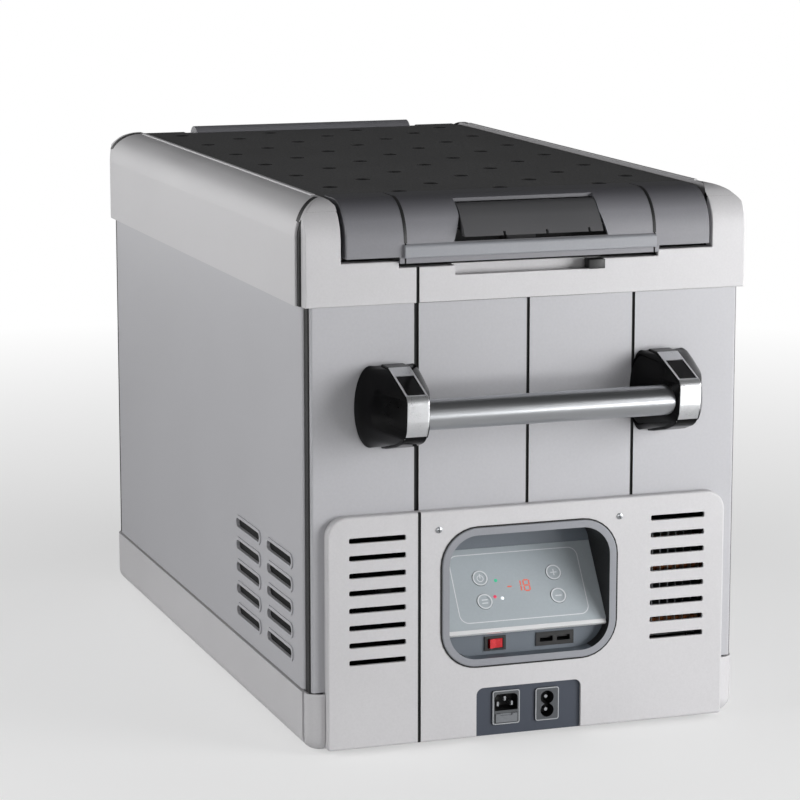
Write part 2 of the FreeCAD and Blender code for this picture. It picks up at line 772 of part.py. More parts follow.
def main_rocker():
    """Two-faced rocker, resting on its left face."""
    half, tall, y = rocker_size[0] / 2 - 0.8, rocker_size[1] / 2, rocker_axis_y()
    corners = [(-half, -4.6), (0, -3.6), (half, -4.6), (half - 0.4, 0), (2.4, 2.6), (-2.4, 2.6),
               (0.4 - half, 0)]
    body = prism_z([(switch_x + a, y + b) for a, b in corners], (switch_z - tall, switch_z + tall))
    body.rotate(V(switch_x, y, 0), V(0, 0, 1), rocker_tilt)
    pivot = rod(pivot_radius, (switch_x, y, switch_z - pivot_half), (switch_x, y, switch_z + pivot_half))
    return fuse(body, pivot)


def usb_block():
    """Charging outlet with two ports side by side."""
    face = front - shelf_inset
    half_w, half_h = usb_size[0] / 2, usb_size[1] / 2
    rim_thick, can_inset, can_tall, can_depth = 1.2, 1.3, 4.7, 16.0
    port_across, port_depth, tongue_half, tongue_front = 8.6, 13.0, 5.4, 2.0
    tongue_low, tongue_high = switch_z + 0.2, switch_z + 1.9
    collar = block((usb_x - half_w, usb_x + half_w), (face - rim_thick, face),
                   (switch_z - half_h, switch_z + half_h))
    can = block((usb_x - half_w + can_inset, usb_x + half_w - can_inset), (face - 0.5, face + can_depth),
                (switch_z - can_tall, switch_z + can_tall))
    ports, tongues = [], []
    for side in (-1, 1):
        x = usb_x + side * port_across
        ports.append(block((x - usb_port[0] / 2, x + usb_port[0] / 2), (face - 2, face + port_depth),
                           (switch_z - usb_port[1] / 2, switch_z + usb_port[1] / 2)))
        tongues.append(block((x - tongue_half, x + tongue_half),
                             (face + tongue_front, face + port_depth + 1), (tongue_low, tongue_high)))
    return fuse(cut(fuse(collar, can), *ports), *tongues)


# ---- power sockets ---------------------------------------------------------------
def power_panel():
    """Dark panel behind the cover's lower opening that carries both power inlets."""
    face = cover_face + power_recess
    half = power_half_width + power_lap
    thick, low, clear = 3.0, power_bottom + moulding_wall + 0.3, 0.4
    lap = prism_y([(-half, low), (half, low), (half, power_top + power_lap, power_corner),
                   (-half, power_top + power_lap, power_corner)], (face, face + thick))
    plate = fuse(lap, wide_block(power_half_width - clear, (face, face + thick),
                                 (power_bottom, power_top)))
    holes = []
    for left, size in ((ac_left, ac_size), (dc_left, dc_size)):
        holes.append(block((left + 1, left + size[0] - 1), (face - 1, face + 5),
                           (socket_bottom + 1, socket_bottom + size[1] - 1)))
    return cut(plate, *holes)


def inlet_body(left, size, corner):
    """Flanged body of one inlet, solid."""
    face = cover_face + power_recess
    thick, inset = 1.6, 1.2
    low, high = socket_bottom, socket_bottom + size[1]
    flange = prism_y(rectangle((left, left + size[0]), (low, high), corner), (face - thick, face))
    can = block((left + inset, left + size[0] - inset), (face - 0.5, face + inlet_depth),
                (low + inset, high - inset))
    return fuse(flange, can)


def ac_middle():
    """Middle of the mains socket and of the fuse drawer below it."""
    x = ac_left + ac_size[0] / 2
    return x, socket_bottom + ac_size[1] - 11.5, socket_bottom + 6.5


def ac_inlet():
    """Mains inlet: a keyed socket above the pocket of the fuse drawer."""
    x, z, fuse_z = ac_middle()
    face = cover_face + power_recess
    half, tall, key = 11.5, 8.0, 4.5
    pocket_half, pocket_tall, pocket_depth = 11.0, 4.5, 22.0
    socket = prism_y([(x - half, z - tall), (x + half, z - tall), (x + half, z + tall, key),
                      (x - half, z + tall, key)], (face - 3, face + socket_depth))
    pocket = block((x - pocket_half, x + pocket_half), (face - 3, face + pocket_depth),
                   (fuse_z - pocket_tall, fuse_z + pocket_tall))
    return cut(inlet_body(ac_left, ac_size, 2.0), socket, pocket)


def fuse_drawer():
    """Sliding drawer with a pull edge; the fuse lies in its trough."""
    x, _, z = ac_middle()
    face = cover_face + power_recess
    half, tall, proud, depth, wall = 10.6, 4.1, 2.6, 21.0, 1.0
    trough_half, trough_floor, grip_half, grip_back, grip_floor = 3.2, z - 2.6, 6.0, face - 1.4, z + 2.2
    tray = block((x - half, x + half), (face - proud, face + depth), (z - tall, z + tall))
    trough = block((x - trough_half, x + trough_half), (face + 1.2, face + depth - wall),
                   (trough_floor, z + 5))
    grip = block((x - grip_half, x + grip_half), (face - 4, grip_back), (grip_floor, z + 5))
    return cut(tray, trough, grip)


def fuse_link():
    """Glass fuse, 5 by 18 mm, in the drawer."""
    x, _, z = ac_middle()
    face = cover_face + power_recess
    return rod(2.5, (x, face + 1.6, z - 0.05), (x, face + 19.6, z - 0.05))


def dc_middle():
    """Middle of the low-voltage socket and its pin spacing."""
    return dc_left + dc_size[0] / 2, socket_bottom + dc_size[1] / 2, 6.2


def dc_inlet():
    """Low-voltage inlet with two round, joined sockets, one above the other."""
    x, z, offset = dc_middle()
    face = cover_face + power_recess
    holes = [rod(6.6, (x, face - 3, z + s * offset), (x, face + 14.0, z + s * offset)) for s in (-1, 1)]
    return cut(inlet_body(dc_left, dc_size, 3.0), *holes)


def inlet_pins():
    """Three flat mains blades and two round low-voltage pins."""
    face = cover_face + power_recess
    x, z, _ = ac_middle()
    shapes = []
    for dx, dz in ((-7.0, -2.5), (0.0, 2.5), (7.0, -2.5)):
        shapes.append(block((x + dx - 1.0, x + dx + 1.0), (face + 2.0, face + socket_depth),
                            (z + dz - 2.0, z + dz + 2.0)))
    x, z, offset = dc_middle()
    for s in (-1, 1):
        shapes.append(rod(1.6, (x, face + 2.0, z + s * offset), (x, face + 14.0, z + s * offset)))
    return group(shapes)


# ---- tub, collar, foam -----------------------------------------------------------
def inner_tub():
    """Stepped inner tub with a rim that rests on the foam."""
    top = collar_top - collar_thick
    shell = tub_form(tub_wall).common(wide_block(400, (-500, 500), (0, top)))
    rim = prism_z(rectangle((-tub_half_width - 14, tub_half_width + 14), (tub_y[0] - 14, tub_y[1] + 14),
                            tub_corner + 14), (top - tub_wall, top))
    return cut(fuse(shell, rim), tub_form(0.0))


def tub_collar():
    """Flat collar round the tub's mouth, with a gutter in front and the latch keeper."""
    side, face, wall = inner_rail - 0.5, front + lid_front, moulding_wall
    outer = prism_z(rectangle((-side, side), (face, -frame_back - 0.5), 3.0),
                    (collar_top - collar_thick, collar_top))
    half = tub_half_width - rim_gap
    mouth = prism_z(rectangle((-half, half), (tub_y[0] + rim_gap, tub_y[1] - rim_gap),
                              tub_corner - rim_gap), (0, above_all))
    apron = wide_block(side, (face, face + wall), (apron_height, collar_top - 1))
    gutter = wide_block(side, (frame_back + touch_gap, face), (apron_height, apron_height + wall))
    keeper = wide_block(18.0, (face - wall, face + 1), (hood_bottom - 4.0, collar_top))
    return group([cut(fuse(outer, apron, keeper), mouth), gutter])


def insulation():
    """Foam between the tub and the outer skins, with the bay left free."""
    top, clear, lip = collar_top - collar_thick - tub_wall, 0.5, 20.0
    side, end = panel_face - steel_wall - clear, -panel_front - steel_wall - clear
    body = prism_z(rectangle((-side, side), (-end, end), 13.5), (base_height + 1.0, band_bottom))
    ends = wide_block(panel_face - lip - clear, (frame_back + clear, -frame_back - clear),
                      (base_height + 1.0, band_bottom))
    neck_front = front + lid_front + moulding_wall + clear
    neck = wide_block(inner_rail - 1.0, (neck_front, -frame_back - clear), (band_bottom - 1, top))
    ledge = wide_block(inner_rail - 1.0, (frame_back + clear, neck_front + 1),
                       (band_bottom - 1, apron_height - clear))
    foot = wide_block(panel_face - 16.0, (bay_back, -frame_back - 4.0), (floor_top, base_height + 2.0))
    bay = wide_block(half_width, (front, bay_back + 1.5), (0, window_top + 1.5))
    evaporator_space = tub_form(tub_wall + 2.0).common(
        wide_block(400, (deep_front - 10, 500), (tub_floor + 30.0, 400.0)))
    return cut(fuse(body, ends, neck, ledge, foot), bay, tub_form(tub_wall), evaporator_space)


def evaporator_plate():
    """Thin plate evaporator wrapped round the deep part of the tub."""
    zone = wide_block(400, (deep_front + tub_corner, 500), (tub_floor + 31.0, 399.0))
    plate = tub_form(tub_wall + 1.7).cut(tub_form(tub_wall + 0.2)).common(zone)
    return plate


def bay_bulkhead():
    """Folded sheet that closes the compressor bay at its back and top."""
    wall, foot_depth, lip_low, lip_high = 1.4, 14.0, base_height + 2.0, base_height + 4.0
    half, foot_half, y0 = panel_face - 6.0, panel_face - 18.0, panel_front + steel_wall + 0.5
    back = wide_block(half, (bay_back, bay_back + wall), (lip_low, window_top + wall))
    top = prism_z([(-half, y0, 11), (half, y0, 11), (half, bay_back + wall), (-half, bay_back + wall)],
                  (window_top, window_top + wall))
    foot = wide_block(foot_half, (bay_back - foot_depth, bay_back), (floor_top, floor_top + wall))
    web = wide_block(foot_half, (bay_back - wall, bay_back), (floor_top, lip_high))
    lip = wide_block(foot_half, (bay_back - wall, bay_back + 0.1), (lip_low, lip_high))
    holes = [rod(pipe_radius + 1.2, (x, y, window_top - 2), (x, y, window_top + 4))
             for x, y in (suction_top(), capillary_top())]
    return cut(fuse(back, top, foot, web, lip), *holes)


# ---- cooling unit ----------------------------------------------------------------
def compressor_middle():
    """Middle of the compressor, seen from above."""
    return compressor_x, bay_back - compressor_radius - compressor_setback


def grommet_places():
    """Places of the four compressor feet."""
    x, y = compressor_middle()
    return [(x + side * grommet_across, y + end * grommet_along) for side in (-1, 1) for end in (-1, 1)]


def compressor_joint():
    """Height of the welded joint between the two halves of the compressor shell."""
    return compressor_bottom + 0.46 * compressor_height


def mount_outline(corner):
    """Rounded rectangle round the compressor's feet."""
    x, y = compressor_middle()
    half_x, half_y = grommet_across + mount_margin, grommet_along + mount_margin
    return rectangle((x - half_x, x + half_x), (y - half_y, y + half_y), corner)


def compressor():
    """Welded compressor shell with its joint flange, feet plate and three pipe stubs."""
    x, y = compressor_middle()
    low, high = compressor_bottom, compressor_bottom + compressor_height
    r, joint = compressor_radius, compressor_joint()
    low_round, high_round, rim, rim_half = 26.0, 44.0, 4.0, 3.0
    foot_wide, head_wide, head_z = 40.0, 46.0, low + 22.0
    shell = revolve([(0, low), (r, low, low_round), (r, high, high_round), (0, high)], (x, y))
    flange = rod(r + rim, (x, y, joint - rim_half), (x, y, joint + rim_half))
    plate_z = floor_top + mount_thick + grommet_height
    feet_plate = prism_z(mount_outline(10.0), (plate_z, plate_z + feet_thick))
    pedestal = revolve([(0, plate_z), (foot_wide, plate_z), (head_wide, head_z), (0, head_z)], (x, y))
    holes = [rod(stud_hole, (a, b, plate_z - 1), (a, b, plate_z + feet_thick + 2))
             for a, b in grommet_places()]
    stubs = [rod(pipe_radius + 1.0, (x + r / 2, y + dy, joint + dz), (x + r + stub_reach, y + dy, joint + dz))
             for dy, dz in ((-12.0, 20.0), (18.0, 20.0), (2.0, 36.0))]
    return cut(fuse(shell, flange, feet_plate, pedestal, *stubs), *holes)


def compressor_mount():
    """Steel plate on the tray with four studs for the compressor's grommets."""
    plate = prism_z(mount_outline(8.0), (floor_top, floor_top + mount_thick))
    stud_top = floor_top + mount_thick + grommet_height + stud_proud
    studs = [rod(stud_radius, (a, b, floor_top + 1), (a, b, stud_top)) for a, b in grommet_places()]
    return fuse(plate, *studs)


def compressor_grommets():
    """Four waisted rubber grommets between the mount and the feet plate."""
    low = floor_top + mount_thick
    high, waist, step = low + grommet_height, low + grommet_height / 2, 2.0
    bore, wide, narrow = stud_radius + 0.2, 9.5, 7.0
    shapes = []
    for a, b in grommet_places():
        corners = [(bore, low), (wide, low), (wide, waist - step), (narrow, waist),
                   (wide, waist + step), (wide, high), (bore, high)]
        shapes.append(revolve(corners, (a, b)))
    return group(shapes)


def condenser_span():
    """Sideways, depth and height ranges of the condenser."""
    y0 = frame_back + 3.0
    half = fan_size / 2 - 8.0
    return ((fan_x - half, fan_x + half), (y0, y0 + condenser_depth), (fan_bottom, fan_bottom + fan_size))


def coil_heights():
    """Heights of the condenser tube's passes."""
    _, _, z = condenser_span()
    step = (z[1] - z[0]) / coil_passes
    return [z[0] + step * (i + 0.5) for i in range(coil_passes)]


def coil_end(height):
    """Open end of the condenser tube at one height, turned back from the fin pack."""
    x, y, _ = condenser_span()
    return x[0] - 36.0, y[1] + 22.0, height


def condenser_tube():
    """Serpentine condenser tube with both ends on the compressor's side."""
    x, y, _ = condenser_span()
    middle, heights = (y[0] + y[1]) / 2, coil_heights()
    bend = (heights[1] - heights[0]) / 2
    left, right = x[0] - bend - 1.0, x[1] + bend + 1.0
    first, last = coil_end(heights[0]), coil_end(heights[-1])
    points = [first, (left, first[1], heights[0])]
    for i, z in enumerate(heights):
        near, far = (left, right) if i % 2 == 0 else (right, left)
        points += [(near, middle, z), (far, middle, z)]
    points += [(left, last[1], heights[-1]), last]
    return bent_tube(points, coil_radius, bend - 0.01)


def condenser_fins():
    """Fin pack with two end plates that stand on the tray."""
    x, y, z = condenser_span()
    middle = (y[0] + y[1]) / 2
    step = (x[1] - x[0]) / (fin_count - 1)
    end_thick, bar_depth, bar_height, clear = 1.6, 1.2, 3.0, 0.15
    shapes = []
    for i in range(fin_count):
        at = x[0] + i * step
        is_end = i in (0, fin_count - 1)
        thick = end_thick if is_end else fin_thick
        low = floor_top if is_end else z[0]
        shapes.append(block((at - thick / 2, at + thick / 2), y, (low, z[1])))
    holes = [rod(coil_radius + clear, (x[0] - 5, middle, h), (x[1] + 5, middle, h))
             for h in coil_heights()]
    bars = [block(x, (y[0], y[0] + bar_depth), (level, level + bar_height))
            for level in (z[0], z[1] - bar_height)]
    return cut(fuse(shapes[0], *(shapes[1:] + bars)), *holes)


def fan_plane():
    """Depth range of the fan and the height of its axis."""
    _, y, _ = condenser_span()
    return (y[1] + 2.0, y[1] + 2.0 + fan_depth), fan_bottom + fan_size / 2


def fan_frame():
    """Square fan frame with struts to the motor and two legs down to the tray."""
    y, z = fan_plane()
    half, corner, flange, ring_wall = fan_size / 2, 6.0, 5.0, 2.2
    strut_half, strut_thick, leg_half, leg_inset, leg_thick = 2.5, 3.5, 6.0, 10.0, 4.0
    frame = prism_y(rectangle((fan_x - half, fan_x + half), (z - half, z + half), corner), y)
    bore = rod(fan_bore, (fan_x, y[0] - 1, z), (fan_x, y[1] + 1, z))
    waist = block((fan_x - fan_size, fan_x + fan_size), (y[0] + flange, y[1] - flange),
                  (z - fan_size, z + fan_size))
    core = rod(fan_bore + ring_wall, (fan_x, y[0] + flange - 1, z), (fan_x, y[1] - flange + 1, z))
    frame = cut(fuse(frame.cut(waist), core), bore)
    motor = rod(hub_radius, (fan_x, y[1] - motor_depth, z), (fan_x, y[1], z))
    shaft = rod(shaft_radius, (fan_x, y[0] + 6.0, z), (fan_x, y[1] - motor_depth + 1, z))
    struts = []
    for k in range(4):
        strut = block((fan_x - strut_half, fan_x + strut_half), (y[1] - strut_thick, y[1]),
                      (z + hub_radius - 4, z + fan_bore + 1))
        strut.rotate(V(fan_x, 0, z), V(0, 1, 0), 45 + 90 * k)
        struts.append(strut)
    legs = []
    for side in (-1, 1):
        x = fan_x + side * (half - leg_inset)
        legs.append(block((x - leg_half, x + leg_half), (y[0], y[0] + leg_thick),
                          (floor_top, z - half + 4)))
    return fuse(frame, motor, shaft, *(struts + legs))


def fan_rotor():
    """Hub with twisted blades, turning on the motor shaft."""
    y, z = fan_plane()
    hub_front, hub_back = y[0] + 3.0, y[1] - motor_depth - 1.0
    hub = rod(hub_radius, (fan_x, hub_front, z), (fan_x, hub_back, z))
    hub = hub.cut(rod(shaft_radius + running_clearance, (fan_x, y[0] + 4.0, z), (fan_x, hub_back + 1, z)))
    sections = []
    middle, thick = (hub_front + hub_back) / 2, 0.8
    tip = fan_bore - blade_clearance
    for radius, chord, pitch in ((hub_radius - 2, 22.0, 38.0), (36.0, 27.0, 28.0), (tip, 31.0, 20.0)):
        turn, level = math.radians(pitch), z + radius
        run, rise = chord / 2 * math.cos(turn), chord / 2 * math.sin(turn)
        under = [V(fan_x - run, middle - rise, level), V(fan_x, middle - 2 * thick, level),
                 V(fan_x + run, middle + rise, level)]
        over = [V(fan_x + run, middle + rise + thick, level), V(fan_x, middle, level),
                V(fan_x - run, middle - rise + thick, level)]
        sections.append(Part.makePolygon(under + over + [under[0]]))
    blade = Part.makeLoft(sections, True, True)
    limit = rod(tip, (fan_x, y[0], z), (fan_x, y[1], z))
    blade = blade.common(limit)
    blades = []
    for k in range(blade_count):
        copy = blade.copy()
        copy.rotate(V(fan_x, 0, z), V(0, 1, 0), 360.0 / blade_count * k)
        blades.append(copy)
    return fuse(hub, *blades)


def suction_top():
    """Where the suction pipe passes through the top of the bay."""
    x, y = compressor_middle()
    return x + compressor_radius + 36.0, y + 18.0


def capillary_top():
    """Where the liquid line passes through the top of the bay."""
    return suction_top()[0] + 16.0, suction_top()[1]


def drier_place():
    """Middle axis of the upright filter drier."""
    end = coil_end(0.0)
    return end[0] - 26.0, end[1] + 18.0


def refrigerant_pipes():
    """Condenser coil, discharge, suction and liquid lines."""
    x, y = compressor_middle()
    high = compressor_joint() + 20.0
    tip = x + compressor_radius + stub_reach
    heights = coil_heights()
    inlet, outlet = coil_end(heights[-1]), coil_end(heights[0])
    sx, sy = suction_top()
    cx, cy = capillary_top()
    dx, dy = drier_place()
    low, top = drier_span()
    roof, turn_x, start_y = window_top - 16.0, tip + 22.0, y - 12.0
    discharge = bent_tube([(tip, start_y, high), (turn_x, start_y, high), (turn_x, inlet[1], high),
                           (turn_x, inlet[1], inlet[2]), inlet], pipe_radius, 10.0)
    suction = bent_tube([(tip, sy, high), (sx, sy, high), (sx, sy, window_top + 1.4)], pipe_radius, 9.0)
    to_drier = bent_tube([outlet, (dx, outlet[1], outlet[2]), (dx, dy, outlet[2]), (dx, dy, low)],
                         pipe_radius, 6.0)
    liquid = bent_tube([(dx, dy, top), (dx, dy, roof), (dx, cy, roof), (cx, cy, roof),
                        (cx, cy, window_top + 1.4)], pipe_radius - 1.2, 5.0)
    return group([condenser_tube(), discharge, suction, to_drier, liquid])


def drier_span():
    """Lower and upper ends of the filter drier."""
    low = coil_heights()[0] + 16.0
    return low, low + 72.0


def filter_drier():
    """Copper filter drier with necked ends."""
    x, y = drier_place()
    low, high = drier_span()
    neck, body, taper = 3.0, 9.0, 12.0
    return revolve([(0, low), (neck, low), (body, low + taper), (body, high - taper), (neck, high),
                    (0, high)], (x, y))


def controller_box():
    """Electronics housing on the tray, with cooling ribs on its lid."""
    x, y, z = (-200.0, -154.0), (front + 55.0, front + 150.0), (floor_top, 52.0)
    corner, rib_thick, rib_pitch, rib_high, rib_count = 4.0, 3.0, 9.0, 5.0, 9
    body = prism_z(rectangle(x, y, corner), z)
    ribs = []
    for index in range(rib_count):
        start = y[0] + 8 + rib_pitch * index
        ribs.append(block((x[0] + corner, x[1] - corner), (start, start + rib_thick),
                          (z[1] - 1, z[1] + rib_high)))
    return fuse(body, *ribs)


# ---- handles ---------------------------------------------------------------------
def pod_corners():
    """Side outline of a handle pod as (distance out, height, radius)."""
    return [(0, pod_low), (12, pod_low + 2, 3), (38, pod_low + 8, 8), (70, pod_low + 19, 26),
            (pod_reach, pod_high - 20, 8), (18, pod_high, 5), (0, pod_high)]


def handle_pod(x0):
    """One pod between x0 and x0 plus its width, at the front end."""
    corners = [(front - c[0],) + tuple(c[1:]) for c in pod_corners()]
    pod = prism_x(corners, (x0, x0 + pod_width))
    edges = [e for e in pod.Edges if e.BoundBox.XLength < 0.01 and e.BoundBox.YMin < front - 1
             and e.BoundBox.YMax < front - 0.5]
    return pod.makeFillet(1.4, edges)


def cap_frame():
    """Middle of the cap on the pod's chamfer, the direction down the slope and its normal."""
    low, high = pod_corners()[4], pod_corners()[5]
    top = V(0, front - high[0], high[1])
    down = (V(0, front - low[0], low[1]) - top).normalize()
    return top + down * (cap_start + cap_length / 2), down, V(0, down.z, -down.y)


def pod_pocket(x, grow, levels):
    """Slab over the cap's outline between two levels along the chamfer's normal."""
    middle, down, normal = cap_frame()
    a, b = cap_length / 2 + grow, cap_width / 2 + grow
    ends = [middle + down * s * a + normal * levels[n] for s, n in ((-1, 1), (1, 1), (1, 0), (-1, 0))]
    return prism_x([(p.y, p.z) for p in ends], (x - b, x + b))


def front_pods():
    """The two pods at the front, bored for the tube and the screw, pocketed for the cap."""
    shapes = []
    for side, (x, z) in zip((-1, 1), screw_places()):
        pod = handle_pod(x - pod_width / 2)
        inner = side * (pod_outer - pod_width)
        bore = rod(tube_radius + 0.1, (inner - side * 1, front - tube_out, tube_height),
                   (inner + side * (tube_socket + 0.2), front - tube_out, tube_height))
        hole = rod(screw_radius + 0.2, (x, front - 46, z), (x, front + 1, z))
        shapes.append(cut(pod, bore, hole, pod_pocket(x, 0.0, (-cap_pocket, 3.0))))
    return shapes


def front_caps():
    """Caps that close the pods' screw pockets, a little below the surface."""
    levels = (-cap_sunk - cap_thick, -cap_sunk)
    return [pod_pocket(x, -0.15, levels) for x, _ in screw_places()]


def pod_caps():
    """All four screw caps."""
    return group(front_caps() + [other_end(c) for c in front_caps()])


def handle_screws():
    """Four screws that hold the pods to the end walls, heads sunk in the end frames."""
    shapes = []
    for x, z in screw_places():
        head = rod(screw_radius + 2.2, (x, frame_back - 4.2, z), (x, frame_back - 0.4, z))
        shank = rod(screw_radius - 0.1, (x, front - 24.0, z), (x, frame_back - 4.0, z))
        shapes.append(fuse(head, shank))
    return group(shapes + [other_end(s) for s in shapes])


def front_tube():
    """Straight grip tube with its ends in the pods' sockets."""
    half = pod_outer - pod_width + tube_socket
    y = front - tube_out
    outer = rod(tube_radius, (-half, y, tube_height), (half, y, tube_height))
    return outer.cut(rod(tube_radius - 2.0, (-half - 1, y, tube_height), (half + 1, y, tube_height)))


# ---- lid -------------------------------------------------------------------------
def lid_profile(inset, bottom):
    """Side outline of the lid shell, made smaller by inset: rounded front, nose at the hinge."""
    y0, top = front + lid_front + inset, lid_top - inset
    nose = lid_top - hinge_height - inset
    return [(y0, bottom), (y0, top, min(lid_front_radius - inset, top - bottom - 0.01)),
            (hinge_y + nose, top, nose - 0.01), (hinge_y + nose, bottom, nose - 0.01)]


def dimple_places():
    """Staggered grid of dimples on the lid: seven columns, every other one moved half a step."""
    places = []
    first, last = front + 75.0, hinge_y - 40.0
    for column in range(-3, 4):
        start = first + (dimple_row_pitch / 2 if column % 2 else 0.0)
        count = int((last - start) / dimple_row_pitch) + 1
        places += [(column * dimple_column_pitch, start + i * dimple_row_pitch) for i in range(count)]
    return places


def bracket_zone(gap, y, z):
    """Two slots across the hinge axis where the fixed hinge brackets stand."""
    x0 = barrel_half_length + 1.5 - gap
    x1 = barrel_half_length + 10.5 + gap
    return both_sides(block((x0, x1), y, z))


def lid_web():
    """Rear face of the web that closes the lid shell in front of the hinge barrel."""
    return hinge_y - barrel_radius - 0.2


def lid_shell():
    """Outer skin of the lid: dimpled top, rounded front edge, nose round the hinge axis."""
    outer = prism_x(lid_profile(0.0, lid_underside), (-lid_half_width, lid_half_width))
    web = lid_web()
    top, low = lid_top - lid_skin, lid_underside
    hollow = prism_x([(front + lid_front + lid_skin, low - 1),
                      (front + lid_front + lid_skin, top, min(lid_front_radius, top - low)),
                      (web - lid_skin, top), (web - lid_skin, low - 1)],
                     (lid_skin - lid_half_width, lid_half_width - lid_skin))
    dimples = [rod(dimple_radius, (x, y, lid_top - dimple_depth), (x, y, lid_top + 5))
               for x, y in dimple_places()]
    barrel_space = wide_block(barrel_half_length + 1.2, (web, rear), (0, above_all))
    slots = bracket_zone(1.2, (web, rear), (0, above_all))
    narrow = hood_half_width + notch_gap - 2.0
    corners = both_sides(block((narrow, lid_half_width + 1), (web - 2.0, rear), (0, above_all)))
    return cut(outer, hollow, barrel_space, *(slots + corners + dimples))


def plug_corners(inset):
    """Plan outline of the lid's plug, made smaller by inset."""
    half = tub_half_width - rim_gap - plug_gap - inset
    y = (tub_y[0] + rim_gap + plug_gap + inset, tub_y[1] - rim_gap - plug_gap - inset)
    return rectangle((-half, half), y, 14.0 - inset)


def lid_liner():
    """Inner panel of the lid: a gasket flange and a plug that reaches into the tub's mouth."""
    wall, low = 2.0, lid_underside - plug_depth
    flange = wide_block(lid_half_width - 0.5, (front + lid_front + 0.5, lid_web() - 0.5),
                        (lid_underside - lid_skin, lid_underside))
    plug = prism_z(plug_corners(0.0), (low, lid_underside - lid_skin))
    hollow = prism_z(plug_corners(wall), (low + wall, lid_underside + 1))
    return cut(fuse(flange, plug), hollow)


def lid_foam():
    """Foam core that fills the lid between its skins."""
    wall, clear, low = 2.0, 0.3, lid_underside - plug_depth
    lower = prism_z(plug_corners(wall + clear), (low + wall + clear, lid_top - lid_skin - dimple_depth - 2))
    front_y = front + lid_front + lid_skin + lid_front_radius / 2
    upper = prism_z(rectangle((lid_skin + clear - lid_half_width, lid_half_width - lid_skin - clear),
                              (front_y, lid_web() - lid_skin - clear), 2.0),
                    (lid_underside + clear, lid_top - lid_skin - clear))
    return fuse(lower, upper)


def lid_gasket():
    """Ribbed rubber seal under the lid's flange."""
    low, high = collar_top + touch_gap, lid_underside - lid_skin
    out, front_out, rib_height, rib_depth = 8.0, 5.0, 3.0, 1.8

    def loop(grow, corner, levels):
        half = tub_half_width + out + grow
        ends = (tub_y[0] - front_out - grow, tub_y[1] + out + grow)
        return prism_z(rectangle((-half, half), ends, corner), levels)

    outer = loop(gasket_width / 2, 16.0, (low, high))
    inner = loop(-gasket_width / 2, 8.0, (low - 1, high + 1))
    waist = loop(gasket_width * 2, 5.0, (low + rib_height, high - rib_height))
    keep = loop(gasket_width / 2 - rib_depth, 14.0, (low, high))
    return cut(outer, inner, waist.cut(keep))


def hood_section(inset, low):
    """Side outline of the lid hood, made smaller by inset."""
    y0, top = front - hood_front + inset, hood_top - inset
    return [(y0, low), (y0, top, hood_radius - inset), (front + hood_back, top), (front + hood_back, low)]


def paddle_axis():
    """Place of the paddle's axis: the knuckle touches the hood's curve from inside."""
    turn = math.radians(paddle_seat_angle)
    reach = hood_radius - paddle_knuckle
    return hood_centre[0] + reach * math.cos(turn), hood_centre[1] + reach * math.sin(turn)


def latch_cover():
    """Curved hood on the lid's front edge, with the paddle's window and the lip below it."""
    wall, face = moulding_wall, front - hood_front
    axis_y, axis_z = paddle_axis()
    lip_proud, lip_top, ear_out, ear_half, ear_reach = 3.5, hood_bottom + 12.0, 4.0, 2.0, 9.0
    clear, groove_half, groove_depth = 1.0, 0.8, 1.2
    outer = prism_x(hood_section(0.0, hood_bottom), (-hood_half_width, hood_half_width))
    rims = [e for e in outer.Edges if e.BoundBox.XLength < 0.01 and e.BoundBox.ZMax > hood_bottom + 1
            and e.BoundBox.YMin < front + hood_back - 1]
    outer = outer.makeFillet(edge_softening, rims)
    inner_half = hood_half_width - wall
    hollow = prism_x(hood_section(wall, hood_bottom - 1), (-inner_half, inner_half))
    open_back = wide_block(inner_half, (front + lid_front, front + hood_back + 1), (0, lid_top - 8))
    skirt = wide_block(hood_step_half, (face, face + wall), (hood_bottom - hood_step, hood_bottom + 1))
    lip = prism_x([(face - lip_proud, hood_bottom - 1, 1.5), (face - lip_proud, lip_top - 2, 3),
                   (face + 0.5, lip_top), (face + 0.5, hood_bottom - 1)],
                  (-division_half - 1, division_half + 1))
    body = fuse(outer.cut(hollow), skirt, lip)
    ears = []
    for side in (-1, 1):
        x = side * (paddle_half_width + ear_out)
        ear = block((x - ear_half, x + ear_half), (axis_y - ear_reach, axis_y + ear_reach),
                    (axis_z - ear_reach, hood_top))
        ears.append(ear.common(prism_x(hood_section(wall - 0.5, 0), (-200, 200))))
    lid_space = prism_x(lid_profile(-0.05, lid_underside - 0.05), (-lid_half_width, lid_half_width))
    below_lid = wide_block(hood_half_width + 1, (front + lid_front - 0.3, 0), (0, lid_underside + 1))
    narrow, wide = paddle_half_width + clear, paddle_half_width + window_flare
    window = prism_y([(-wide, paddle_bottom - 5.0), (wide, paddle_bottom - 5.0), (narrow, axis_z),
                      (narrow, hood_top + 20), (-narrow, hood_top + 20), (-narrow, axis_z)],
                     (face - 20, axis_y))
    sweep = rod(paddle_knuckle + latch_clearance, (-narrow, axis_y, axis_z), (narrow, axis_y, axis_z))
    above = wide_block(narrow, (axis_y - 1, axis_y + 4.0), (axis_z, hood_top + 20))
    pin_hole = rod(paddle_pin_radius, (-100, axis_y, axis_z), (100, axis_y, axis_z))
    grooves = []
    for x in (-division_half, division_half):
        ring = prism_x(hood_section(-1, hood_bottom - 20), (x - groove_half, x + groove_half))
        grooves.append(ring.cut(prism_x(hood_section(groove_depth, hood_bottom - 30), (x - 2, x + 2))))
    return cut(fuse(body, *ears), open_back, lid_space, below_lid, window, above, sweep, pin_hole, *grooves)


